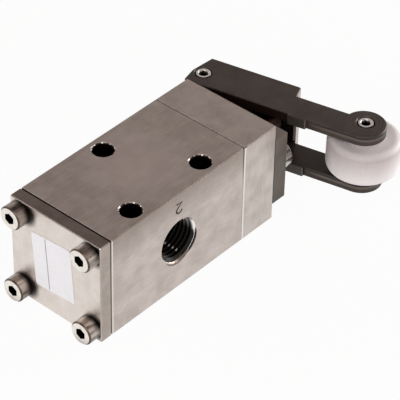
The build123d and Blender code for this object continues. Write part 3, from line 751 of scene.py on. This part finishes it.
def with_lever_marks_and_light(tree, tone):
    """Rings, bands and patches of the lever."""
    place = lever_parts(tree)
    on_side = add_node(tree, RANGE, {0: facing(tree, "Z"), 1: 0.2, 2: 0.4, 3: 1.0, 4: 0.0})
    tone = with_eye_marks(tree, tone, place)
    tone = with_edge_bands(tree, tone, place, on_side)
    for colour, *limits in SIDE_PATCHES:
        share = on_side
        for axis, side, limit in limits:
            within = add_node(tree, MATH, {0: place[axis], 1: limit}, operation=side)
            share = all_of(tree, share, within)
        tone = layered(tree, tone, (share, colour))
    return tone


print("patches:", len(SIDE_PATCHES))

# %% [markdown]
# The lever and its bracket are steel parts that were milled and then blackened in a hot salt bath.
# The oxide is a skin of about a thousandth of a millimetre, so it hides nothing of the milling:
# the surface stays satin and warm black. The skin is no bare metal any more, so it is drawn partly
# metallic, but for the plunger, which the photograph shows as nothing but dark.

# %% Blackened steel
OXIDE_GRAIN = 0.35
OXIDE_PATCH = 6.0
OXIDE_PATCH_SHARE = 0.6
OXIDE_STRENGTH = 0.25
OXIDE_RELIEF = 0.01 * MM
BLACKENED_RECESS_SHADE = "#20130f"


def unmarked(tree, tone):
    """The tone as it is, for pieces that get no marks and no painted light."""
    return tone


def blackened_steel(name, tones, roughness=(0.38, 0.52), metallic=0.35, top=None, marks_and_light=unmarked):
    """Black oxide on milled steel in two tones; top is painted light on faces that look up."""
    material, tree = new_material(name)
    grain = grain_of(tree, [OXIDE_GRAIN] * 3)
    patches = grain_of(tree, [OXIDE_PATCH] * 3, PATCH_DETAIL)
    blend = add_node(tree, MIX, {"Factor": OXIDE_PATCH_SHARE, "A": grain, "B": patches})
    tone = two_toned(tree, blend, *tones)
    if top:
        up = add_node(tree, RANGE, {0: parts_of(tree, "Normal")["Z"], 1: 0.6, 2: 0.8})
        tone = layered(tree, tone, (up, top))
    # painted shade where the blackened pieces are closed in, as in the lever's channel
    tone = with_recess_shade(tree, tone, reach=25.0, open_at=0.75, colour=BLACKENED_RECESS_SHADE)
    relief = {"Height": grain, "Strength": OXIDE_STRENGTH, "Distance": OXIDE_RELIEF}
    gloss = {0: grain, 1: NOISE_LOW, 2: NOISE_HIGH, 3: roughness[0], 4: roughness[1]}
    surface = {
        "Base Color": marks_and_light(tree, tone),
        "Metallic": metallic,
        "Roughness": add_node(tree, RANGE, gloss),
        "Normal": add_node(tree, "ShaderNodeBump", relief),
    }
    shader = add_node(tree, "ShaderNodeBsdfPrincipled", surface)
    add_node(tree, "ShaderNodeOutputMaterial", {"Surface": shader})
    return material


print("oxide grain", OXIDE_GRAIN, "mm")

# %% [markdown]
# The bracket has come out of the bath lighter than the lever, and its top gets a lighter tone
# still, as painted light.

# %% The three blackened pieces
lever_black = blackened_steel(
    "blackened_steel_lever", ("#3a312b", "#4b413a"), marks_and_light=with_lever_marks_and_light
)
bracket_black = blackened_steel(
    # painted light on the bracket's top
    "blackened_steel_bracket", ("#5c524a", "#6f655b"), top="#82776e"
)
plunger_black = blackened_steel(
    "blackened_steel_plunger", ("#2a1a14", "#35221b"), metallic=1.0
)
print("made", lever_black.name, bracket_black.name, plunger_black.name)

# %% [markdown]
# Two kinds of screws and pins get painted shade and light. The end screws' barrels are painted
# dark, as shade, where they meet the end plate. The lever pins' sockets have chamfered mouths,
# painted as light as the pins' ends.

# %% Painted shade and light on screws and pins
BARREL_SHADE_START, BARREL_FOOT = -31.9 * MM, -30.3 * MM
BARREL_SHADE_TONE = "#17110e"
SHARE_UNDERNEATH = 0.35
SOCKET_MOUTH_R = 1.65 * MM
SOCKET_MOUTH_LIGHT = "#d6d1cc"


def with_shaded_foot(tree, tone):
    """Painted shade on the end screws' barrels, most so above."""
    along = parts_of(tree, "Object")["X"]
    foot = {0: along, 1: BARREL_SHADE_START, 2: BARREL_FOOT, 4: SHADOW_SHARE}
    above = {0: parts_of(tree, "Normal")["Z"], 1: -0.4, 2: 0.5, 3: SHARE_UNDERNEATH}
    shadowed = all_of(tree, add_node(tree, RANGE, foot), add_node(tree, RANGE, above))
    # painted shade on the barrels' foot
    return layered(tree, tone, (shadowed, BARREL_SHADE_TONE))


def with_lit_sockets(tree, tone):
    """Painted light on the chamfers of the sockets in the pivot pin and the roller pin."""
    place = lever_parts(tree)
    up = add_node(tree, RANGE, {0: parts_of(tree, "Normal")["Z"], 1: 0.4, 2: 0.6})
    for pin in (Vector(), ROLLER_PIN):
        radius = distance_from(tree, pin.xy, place["X"], place["Y"])
        near = add_node(tree, MATH, {0: radius, 1: SOCKET_MOUTH_R}, operation="LESS_THAN")
        # painted light on each socket's chamfer
        tone = layered(tree, tone, (all_of(tree, near, up), SOCKET_MOUTH_LIGHT))
    return tone


print("socket mouths", round(2 * SOCKET_MOUTH_R / MM, 1), "mm across")

# %% [markdown]
# Screws, pins and bushes are turned or cold headed. They are smoother than ground bar, so they
# mirror the room in long streaks. Their ends can get a lighter tone as painted light, and the
# chamfer round each end a darker tone as painted shade.
# One function covers them. The fine rings round their axis are left out, because at this size they
# are narrower than a pixel.

# %% Bright turned metal
TURNED_GRAIN = (0.8, 0.8, 0.8)
BARREL_STREAK = (9.0, 1.1, 1.1)
SMOOTH_LOW, SMOOTH_HIGH = 0.35, 0.65


def turned_metal(
    name,
    tones,
    roughness=0.24,
    metallic=1.0,
    axis="X",
    end=None,
    rim=None,
    recess=(12.0, 0.55),
    grain_lengths=TURNED_GRAIN,
    marks_and_light=unmarked,
):
    """Smooth metal between two tones; end gives lighter tones of faces across the axis, as painted
    light, and rim a darker tone of the chamfer round them, as painted shade. recess is the reach
    and open_at of with_recess_shade."""
    material, tree = new_material(name)
    grain = grain_of(tree, grain_lengths)
    tone = two_toned(tree, grain, *tones, SMOOTH_LOW, SMOOTH_HIGH)
    if rim:
        sloping = add_node(tree, RANGE, {0: facing(tree, axis), 1: 0.45, 2: 0.6})
        tone = layered(tree, tone, (sloping, rim))
    if end:
        squarely = add_node(tree, RANGE, {0: facing(tree, axis), 1: 0.85, 2: 0.95})
        end_tone = two_toned(tree, grain, *end, SMOOTH_LOW, SMOOTH_HIGH)
        tone = layered(tree, tone, (squarely, end_tone))
    tone = with_recess_shade(tree, marks_and_light(tree, tone), *recess)
    surface = {"Base Color": tone, "Metallic": metallic, "Roughness": roughness}
    shader = add_node(tree, "ShaderNodeBsdfPrincipled", surface)
    add_node(tree, "ShaderNodeOutputMaterial", {"Surface": shader})
    return material


print("streaks on screw barrels", BARREL_STREAK[0], "mm long")

# %% [markdown]
# Stainless screws and pins are bright grey. The pins' ends look whiter than bare steel in the
# photograph, so they are drawn less metallic. Hard chrome on the spool is bluish and the smoothest
# of all, sintered bronze is brown and dull with its pores, and turned brass is a clear yellow.

# %% The seven turned metals
screw_steel = turned_metal(
    "stainless_screw_steel",
    # tones far apart in long streaks, painted reflections on the barrels
    ("#6f635c", "#c9beb6"),
    roughness=0.3,
    # painted light on the heads' ends, and painted shade on their chamfers below
    end=("#e6ded6", "#f2ece5"),
    rim="#5d514a",
    recess=(6.0, 0.8),
    grain_lengths=BARREL_STREAK,
    marks_and_light=with_shaded_foot,
)
pin_steel = turned_metal(
    "stainless_pin_steel",
    ("#dcd8d4", "#eae7e3"),
    metallic=0.6,
    axis="Z",
    # painted light on the pins' ends, and painted shade on their chamfers below
    end=("#e2deda", "#f0ede9"),
    rim="#241c18",
    marks_and_light=with_lit_sockets,
)
bracket_screw_steel = turned_metal(
    "bright_screw_steel", ("#a8a4a1", "#bfbbb8"), roughness=0.16, recess=(2.0, 0.8)
)
spool_chrome = turned_metal("hard_chromed_spool_steel", ("#c2c2c4", "#d2d2d4"), roughness=0.1)
spring_wire = turned_metal("stainless_spring_wire", ("#8f8d8b", "#a5a3a0"))
bush_bronze = turned_metal("sintered_bronze", ("#9a7444", "#b58c55"), roughness=0.42)
seat_brass = turned_metal("turned_brass", ("#b9974f", "#cdb068"))
print("made", screw_steel.name, pin_steel.name, bracket_screw_steel.name, spool_chrome.name)
print("made", spring_wire.name, bush_bronze.name, seat_brass.name)

# %% [markdown]
# Plastics and rubber have a faint mottle and a little relief from their mould or their turning.
# Both are finer in reality than the half millimetre that they are drawn at. Light enters a pale
# plastic a little way, which softens its shadows, so there is a share of subsurface scattering.

# %% Plastics and rubber
FINE_GRAIN = 0.5
MOULD_STRENGTH = 0.15
MOULD_RELIEF = 0.01 * MM
SCATTER_RADIUS = (1.0, 0.9, 0.85)
SCATTER_DEPTH = 1.5 * MM


def moulded(name, tones, ior, roughness, scatter=0.0, marks_and_light=unmarked):
    """A plastic or rubber with a faint mottle of two tones."""
    material, tree = new_material(name)
    grain = grain_of(tree, [FINE_GRAIN] * 3)
    relief = {"Height": grain, "Strength": MOULD_STRENGTH, "Distance": MOULD_RELIEF}
    surface = {
        "Base Color": marks_and_light(tree, two_toned(tree, grain, *tones, SMOOTH_LOW, SMOOTH_HIGH)),
        "IOR": ior,
        "Roughness": roughness,
        "Subsurface Weight": scatter,
        "Subsurface Radius": SCATTER_RADIUS,
        "Subsurface Scale": SCATTER_DEPTH,
        "Normal": add_node(tree, "ShaderNodeBump", relief),
    }
    shader = add_node(tree, "ShaderNodeBsdfPrincipled", surface)
    add_node(tree, "ShaderNodeOutputMaterial", {"Surface": shader})
    return material


print("mottle", FINE_GRAIN, "mm")

# %% [markdown]
# The roller is turned from white acetal, a hard waxy plastic, which is satin and scatters light.
# Its lower half and its flat sides are painted lighter than its tread, as painted light.
# Seals are moulded black nitrile rubber, which is dull, and the cages inside are black acetal.
# The label is a satin white film with a printed grey line.

# %% Roller, seals, cages and label
ACETAL_IOR = 1.48
RUBBER_IOR = 1.52
LIT_TO, TREAD_FROM = MID_Z - 5 * MM, MID_Z + 4 * MM
LIT_SIDE_SHARE = 0.45
ROLLER_LIGHT_TONE = "#fdfbfc"


def with_lit_foot(tree, tone):
    """Painted light on the roller's lower half and on its flat side above."""
    foot = {0: parts_of(tree, "Object")["Z"], 1: LIT_TO, 2: TREAD_FROM, 3: 1.0, 4: 0.0}
    side = {0: parts_of(tree, "Normal")["Z"], 1: 0.3, 2: 0.9, 4: LIT_SIDE_SHARE}
    shares = {0: add_node(tree, RANGE, foot), 1: add_node(tree, RANGE, side)}
    lit = add_node(tree, MATH, shares, operation="MAXIMUM")
    # painted light on the lower half and the flat side
    return layered(tree, tone, (lit, ROLLER_LIGHT_TONE))


white_acetal = moulded(
    "white_acetal", ("#c3b8b7", "#ccc2c1"), ACETAL_IOR, 0.42, scatter=0.35, marks_and_light=with_lit_foot
)
black_acetal = moulded("black_acetal", ("#1b1b1c", "#262627"), ACETAL_IOR, 0.45)
nitrile = moulded("black_nitrile_rubber", ("#141414", "#1e1e1e"), RUBBER_IOR, 0.6)
label_film = moulded("white_label_film", ("#e6e6eb", "#ececf0"), ACETAL_IOR, 0.5)
label_ink = moulded("grey_label_ink", ("#6f747c", "#7b8088"), ACETAL_IOR, 0.6)
print("made", white_acetal.name, black_acetal.name, nitrile.name)

# %% [markdown]
# Each piece of the model now gets its finish. A table from finish to pieces keeps it readable,
# and the material goes into the piece's own slots, so its mesh stays as it came.

# %% Finishes onto the model's pieces
FINISHES = {
    body_steel: ["main_body"],
    head_steel: ["head_block"],
    plate_steel: ["end_plate"],
    lever_black: ["lever"],
    bracket_black: ["lever_bracket"],
    plunger_black: ["plunger"],
    screw_steel: ["end_plate_screws", "head_block_screws"],
    bracket_screw_steel: ["bracket_screws"],
    pin_steel: ["pivot_pin", "roller_pin", "roller_bush", "stack_washer"],
    bush_bronze: ["pivot_bushes", "plunger_bush"],
    seat_brass: ["spring_seat"],
    spool_chrome: ["spool"],
    spring_wire: ["return_spring", "stack_circlip"],
    white_acetal: ["roller"],
    black_acetal: ["supply_port_cage", "outlet_port_cage", "exhaust_port_cage"],
    nitrile: [
        "end_plate_oring",
        "head_block_oring",
        "plunger_seal",
        "plunger_wiper",
        *[f"spool_seal_{number}" for number in range(1, 5)],
    ],
}
for finish, names in FINISHES.items():
    for name in names:
        NODES[name].data.materials.clear()
        NODES[name].data.materials.append(finish)
bare = sorted(set(NODES) - {name for names in FINISHES.values() for name in names})
print("pieces without a finish:", bare)

# %% [markdown]
# A small helper turns vertices and faces into an object that rides on a body of the model.
# Everything that this script adds from points goes through it, so each piece also names the
# material slot that its finish belongs to.

# %% Helper for added pieces


def add_piece(name, vertices, faces, material, body):
    """A mesh object from its vertices and faces, riding on a body of the model."""
    mesh = bpy.data.meshes.new(name)
    mesh.from_pydata(vertices, [], faces)
    mesh.materials.append(material)
    mesh.validate()
    piece = bpy.data.objects.new(name, mesh)
    bpy.context.scene.collection.objects.link(piece)
    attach(piece, body)


def side_faces(count):
    """Faces between two rings of this many vertices, which were added one after the other."""
    following = [(i + 1) % count for i in range(count)]
    return [(i, j, count + j, count + i) for i, j in enumerate(following)]


print("a box has", len(side_faces(4)), "side faces")

# %% [markdown]
# The return spring stands between the end plate and the spool, and its coils close up as the spool
# comes back. A rigid piece can't do that. Here a copy of the model's spring, with a mesh of its
# own, stands in for it on the valve's body.

spring_coils = bpy.data.objects.new("return_spring_coils", NODES["return_spring"].data.copy())
bpy.context.scene.collection.objects.link(spring_coils)
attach(spring_coils, "valve_body")
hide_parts("return_spring")
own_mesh(spring_coils)

# %% [markdown]
# The lever's two stop pads reach as deep as its arms are thick. The model's pads are shallower, so
# a filler with the same rounded outline runs from each pad to the inner face of its arm.

# %% Stop pads
PAD_OUTER = -5.95 * MM
PAD_ROUND = 0.4 * MM
PAD_ROOT = 0.1 * MM
PAD_DEPTH = 2.1 * MM
PAD_STEPS = 4


def pad_outline():
    """Points round a pad in the lever's own frame, rounded at its two outer corners."""
    points = [(PADS_TO, ARM_INNER + PAD_ROOT), (PADS_FROM, ARM_INNER + PAD_ROOT)]
    for along, start in ((PADS_FROM + PAD_ROUND, 180), (PADS_TO - PAD_ROUND, 270)):
        for i in range(PAD_STEPS + 1):
            angle = math.radians(start + 90 * i / PAD_STEPS)
            out = PAD_OUTER + PAD_ROUND + PAD_ROUND * math.sin(angle)
            points.append((along + PAD_ROUND * math.cos(angle), out))
    return points


def lever_to_valve(along, out, height):
    """A point of the lever's frame in the valve's frame, at rest."""
    x, y, _ = Matrix.Rotation(LEVER_TURN, 3, "Z") @ Vector((along, out, 0.0))
    return (PIVOT.x + x, PIVOT.y + y, MID_Z + height)


def add_pad_filler(name, low, high):
    """The pad's outline, raised from one height to another."""
    outline = pad_outline()
    count = len(outline)
    vertices = [lever_to_valve(*point, height) for height in (low, high) for point in outline]
    ends = [tuple(reversed(range(count))), tuple(range(count, 2 * count))]
    add_piece(name, vertices, ends + side_faces(count), lever_black, "lever_arm")


add_pad_filler("upper_pad_filler", LEVER_HALF - ARM_THICKNESS, LEVER_HALF - PAD_DEPTH)
add_pad_filler("lower_pad_filler", PAD_DEPTH - LEVER_HALF, ARM_THICKNESS - LEVER_HALF)
print("pads reach", round((ARM_THICKNESS - PAD_DEPTH) / MM, 1), "mm deeper")

# %% [markdown]
# The ports carry a British pipe thread with 19 turns to the inch, cut into the plain bores of the
# model. A thread is a vee that climbs one pitch in each turn, so a strip of quads that follows a
# helix makes it: the crest stands inwards, and the roots lie in the bore's wall.
# Near the mouth the ridge runs out, as a tap leaves it.

# %% Thread ridge
THREAD_PITCH = 25.4 / 19 * MM
THREAD_CREST_R = 5.80 * MM
THREAD_TURNS = 5.0
THREAD_STEPS = 64
THREAD_RUN_OUT = 0.18
THREAD_FLAT = 0.10
THREAD_OVERLAP = 0.02 * MM
THREAD_START_ANGLE = math.radians(75)


def thread_mesh(mouth, inward):
    """Vertices and faces of a helical ridge that starts at the mouth and goes inward along Y."""
    count = int(THREAD_TURNS * THREAD_STEPS)
    root = PORT_R + THREAD_OVERLAP
    vertices, faces = [], []
    for i in range(count + 1):
        turn = i / THREAD_STEPS
        angle = THREAD_START_ANGLE - inward * 2 * math.pi * turn
        height = min(1.0, turn / THREAD_RUN_OUT, (THREAD_TURNS - turn) / THREAD_RUN_OUT)
        crest = PORT_R - (PORT_R - THREAD_CREST_R) * height
        shares = (0.0, 0.5 - THREAD_FLAT / 2, 0.5 + THREAD_FLAT / 2, 1.0)
        for share, radius in zip(shares, (root, crest, crest, root)):
            y = mouth.y + inward * THREAD_PITCH * (turn + share)
            x = mouth.x + radius * math.cos(angle)
            z = mouth.z + radius * math.sin(angle)
            vertices.append((x, y, z))
    for i in range(count):
        low, high = 4 * i, 4 * (i + 1)
        for k in range(3):
            faces.append((low + k, high + k, high + k + 1, low + k + 1))
    return vertices, faces


print("thread pitch", round(THREAD_PITCH / MM, 3), "mm")

# %% [markdown]
# The supply port 1 and the exhaust port 3 are in the far side, and the outlet port 2 is in the near
# side. Inward runs against Y on the far side, and along it on the near side.

# %% Port threads
THREAD_START_DEPTH = 0.1 * MM
PORTS = {
    "port_1": (-PORT_PITCH, BODY_HIGH.y, -1),
    "port_2": (0.0, BODY_LOW.y, 1),
    "port_3": (PORT_PITCH, BODY_HIGH.y, -1),
}
for name, (x, face_y, inward) in PORTS.items():
    mouth = Vector((x, face_y + inward * THREAD_START_DEPTH, MID_Z))
    vertices, faces = thread_mesh(mouth, inward)
    add_piece(f"{name}_thread", vertices, faces, body_steel, "valve_body")
print("threads cut in", ", ".join(PORTS))

# %% [markdown]
# Each port has its number engraved beside it, upside down when the valve lies as in the photograph.
# An engraved line is a shallow dark groove, and at this size its depth can't be seen.
# So each numeral is drawn as thin strokes that lie a few hundredths of a millimetre proud,
# with a dark finish. A stroke is a line of points, in parts of the numeral's width and height.

# %% Strokes of the numerals
ARC_STEPS = 14


def arc(centre, radius, start_deg, end_deg):
    """Points along an arc."""
    step = (end_deg - start_deg) / ARC_STEPS
    angles = [math.radians(start_deg + step * i) for i in range(ARC_STEPS + 1)]
    (x, y), (half_width, half_height) = centre, radius
    return [(x + half_width * math.cos(a), y + half_height * math.sin(a)) for a in angles]


STROKES = {
    "1": [[(0.2, 0.78), (0.55, 1.0), (0.55, 0.0)]],
    "2": [arc((0.5, 0.7), (0.5, 0.3), 170, -35) + [(0.0, 0.0), (1.0, 0.0)]],
    "3": [
        arc((0.48, 0.76), (0.46, 0.24), 160, -90),
        arc((0.5, 0.27), (0.5, 0.27), 90, -160),
    ],
}


def ribbon(points, width):
    """Left and right points of a flat ribbon along a line of points in the plane."""
    sides = []
    for i, (x, y) in enumerate(points):
        before = points[max(i - 1, 0)]
        after = points[min(i + 1, len(points) - 1)]
        dx, dy = after[0] - before[0], after[1] - before[1]
        length = math.hypot(dx, dy) or 1.0
        nx, ny = -dy / length * width / 2, dx / length * width / 2
        sides.append(((x + nx, y + ny), (x - nx, y - ny)))
    return sides


print("numerals", ", ".join(sorted(STROKES)))

# %% [markdown]
# The same numeral serves both sides of the body. It is mirrored with the side that it stands on, so
# that it reads the right way from outside.

# %% Engraved numerals
NUMERAL_HEIGHT = 3.2 * MM
NUMERAL_WIDTH = 2.1 * MM
NUMERAL_Z = MID_Z + 11.2 * MM
NUMERAL_SHIFT = -0.15 * MM
STROKE_WIDTH = 0.56 * MM
STROKE_LIFT = 0.02 * MM

engraving = blackened_steel("engraved_groove", ("#2b2420", "#3a322d"), roughness=(0.6, 0.7))


def add_numeral(name, digit, centre_x, face_y, outward):
    """A digit on a side of the body, upside down; outward is -1 on the near side."""
    vertices, faces = [], []
    y = face_y + outward * STROKE_LIFT
    for stroke in STROKES[digit]:
        scaled = [((u - 0.5) * NUMERAL_WIDTH, (v - 0.5) * NUMERAL_HEIGHT) for u, v in stroke]
        first = len(vertices)
        for pair in ribbon(scaled, STROKE_WIDTH):
            vertices += [(centre_x + outward * u, y, NUMERAL_Z - v) for u, v in pair]
        for i in range(len(scaled) - 1):
            a = first + 2 * i
            faces.append((a, a + 2, a + 3, a + 1))
    add_piece(name, vertices, faces, engraving, "valve_body")


for name, (x, face_y, inward) in PORTS.items():
    add_numeral(f"{name}_numeral", name[-1], x + NUMERAL_SHIFT, face_y, -inward)
print("numerals", round(NUMERAL_HEIGHT / MM, 1), "mm high")

# %% [markdown]
# The end plate carries a label of white film, stuck on a little askew. It stays bare here but for
# the thin line that divides it. Its corners are rounded, and it is a tenth of a millimetre thick.

# %% Label
LABEL_WIDTH = 13.9 * MM
LABEL_HEIGHT = 17.4 * MM
LABEL_CORNER = 0.7 * MM
LABEL_THICKNESS = 0.1 * MM
LABEL_CENTRE_Y = 0.97 * MM
LABEL_CENTRE_Z = MID_Z - 0.1 * MM
LABEL_TILT = math.radians(-4.2)
CORNER_STEPS = 6
PLATE_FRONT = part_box("end_plate")[0].x


def rounded_outline(width, height, corner):
    """Points round a rectangle with rounded corners, anticlockwise."""
    points = []
    for quarter, (sx, sy) in enumerate(((1, 1), (-1, 1), (-1, -1), (1, -1))):
        cx, cy = sx * (width / 2 - corner), sy * (height / 2 - corner)
        for i in range(CORNER_STEPS + 1):
            angle = math.pi / 2 * (quarter + i / CORNER_STEPS)
            points.append((cx + corner * math.cos(angle), cy + corner * math.sin(angle)))
    return points


def label_plane(u, v, lift):
    """A point of the label: u runs right and v up as seen from in front of the end plate."""
    y = LABEL_CENTRE_Y - (u * math.cos(LABEL_TILT) + v * math.sin(LABEL_TILT))
    z = LABEL_CENTRE_Z + v * math.cos(LABEL_TILT) - u * math.sin(LABEL_TILT)
    return (PLATE_FRONT - lift, y, z)


outline = rounded_outline(LABEL_WIDTH, LABEL_HEIGHT, LABEL_CORNER)
count = len(outline)
vertices = [label_plane(*point, lift) for lift in (0.0, LABEL_THICKNESS) for point in outline]
faces = [tuple(range(count, 2 * count))] + side_faces(count)
add_piece("label", vertices, faces, label_film, "valve_body")
print("label", round(LABEL_WIDTH / MM, 1), "by", round(LABEL_HEIGHT / MM, 1), "mm")

# %% [markdown]
# The dividing line is printed, so it is a single face just above the film.

# %% Dividing line
LINE_WIDTH = 0.22 * MM
LINE_AT = 2.0 * MM
LINE_MARGIN = 0.4 * MM

half_line, half_height = LINE_WIDTH / 2, LABEL_HEIGHT / 2 - LINE_MARGIN
line_corners = [(-1, -1), (1, -1), (1, 1), (-1, 1)]
vertices = [
    label_plane(-LINE_AT + su * half_line, sv * half_height, LABEL_THICKNESS + STROKE_LIFT)
    for su, sv in line_corners
]
add_piece("label_line", vertices, [(0, 1, 2, 3)], label_ink, "valve_body")
print("line", round(LINE_WIDTH / MM, 2), "mm wide")

# %% [markdown]
# The set is a white table under a pale tent. The table is a plain floor that keeps a soft shadow,
# and looks white to the camera and in reflections. From below it is clear, so that the valve's
# underside can be looked at, and it lies a hair under the valve, so that the two don't flicker.

# %% Floor
FLOOR_SIZE = 1.6
FLOOR_GLOW = 0.95
FLOOR_DROP = 0.05 * MM
FLOOR_TONE = "#f4f3f2"
WHITE = "#ffffff"


def floor_material():
    """White paint that also glows where the camera or a reflection sees it."""
    material, tree = new_material("white_table")
    rays = add_node(tree, "ShaderNodeLightPath").outputs
    seen = rays["Is Camera Ray"]
    for ray in ("Is Glossy Ray", "Is Transmission Ray"):
        seen = add_node(tree, MATH, {0: seen, 1: rays[ray]}, operation="MAXIMUM")
    share = add_node(tree, MATH, {0: seen, 1: FLOOR_GLOW}, operation="MULTIPLY")
    paint = add_node(tree, "ShaderNodeBsdfDiffuse", {"Color": FLOOR_TONE})
    glow = add_node(tree, "ShaderNodeEmission", {"Color": WHITE, "Strength": 1.0})
    table = add_node(tree, "ShaderNodeMixShader", {0: share, 1: paint, 2: glow})
    below = add_node(tree, "ShaderNodeNewGeometry").outputs["Backfacing"]
    clear = add_node(tree, "ShaderNodeBsdfTransparent")
    table = add_node(tree, "ShaderNodeMixShader", {0: below, 1: table, 2: clear})
    add_node(tree, "ShaderNodeOutputMaterial", {"Surface": table})
    return material


half = FLOOR_SIZE / 2
floor_corners = [(-half, -half, 0.0), (half, -half, 0.0), (half, half, 0.0), (-half, half, 0.0)]
floor_mesh = bpy.data.meshes.new("floor")
floor_mesh.from_pydata(floor_corners, [], [(0, 1, 2, 3)])
floor_mesh.materials.append(floor_material())
floor = bpy.data.objects.new("floor", floor_mesh)
floor.location.z = -FLOOR_DROP
bpy.context.scene.collection.objects.link(floor)
print("floor", FLOOR_SIZE, "m wide")

# %% [markdown]
# The tent is the world's colour: white from the horizon to a quarter of the way up, then darker
# towards the top, which is what ground steel shows on its upward faces. A colour ramp along the
# direction's height gives it. The camera itself sees plain white.

# %% World
TENT_STOPS = [
    (0.0, "#fbfaf9"),
    (0.22, "#faf8f6"),
    (0.42, "#d6cfcb"),
    (0.6, "#a99c99"),
    (0.76, "#6d615d"),
    (1.0, "#4f453f"),
]

world = bpy.data.worlds.new("pale_tent")
world.use_nodes = True
sky = world.node_tree
sky.nodes.clear()
direction = add_node(sky, "ShaderNodeTexCoord").outputs["Generated"]
height = add_node(sky, "ShaderNodeSeparateXYZ", {"Vector": direction}).outputs["Z"]
tent = add_node(sky, "ShaderNodeValToRGB", {"Fac": height})
stops = tent.color_ramp.elements
while len(stops) < len(TENT_STOPS):
    stops.new(0.5)
for stop, (position, colour) in zip(stops, TENT_STOPS):
    stop.position = position
    stop.color = linear(colour)
seen = add_node(sky, "ShaderNodeLightPath").outputs["Is Camera Ray"]
background = {"Color": layered(sky, tent, (seen, WHITE)), "Strength": 1.0}
background = add_node(sky, "ShaderNodeBackground", background)
add_node(sky, "ShaderNodeOutputWorld", {"Surface": background})
bpy.context.scene.world = world
print("tent with", len(stops), "tones")

# %% [markdown]
# Two soft lamps in front of the end plate make it the brightest face, and one stands behind the
# lever, where it washes out the far side of the roller. Places and sizes are in metres.

# %% Lamps


def add_soft_lamp(name, place, size, power):
    """A square area lamp that points at the middle of the valve's body."""
    light = bpy.data.lights.new(name, "AREA")
    light.size = size
    light.energy = power
    lamp = bpy.data.objects.new(name, light)
    lamp.location = place
    towards = Vector((0.0, 0.0, MID_Z)) - Vector(place)
    lamp.rotation_euler = towards.to_track_quat("-Z", "Y").to_euler()
    bpy.context.scene.collection.objects.link(lamp)


add_soft_lamp("front_lamp", (-0.5, -0.3, 0.5), size=0.7, power=2.5)
add_soft_lamp("left_lamp", (-0.5, 0.45, 0.1), size=0.3, power=1.2)
add_soft_lamp("back_lamp", (0.6, -0.25, 0.12), size=0.3, power=2.8)
print("lamps:", len(bpy.data.lights))

# %% [markdown]
# At the end the view transform is set to Standard, and the scene is brought up to date.

# %% Finish
bpy.context.scene.view_settings.view_transform = "Standard"
bpy.context.view_layer.update()
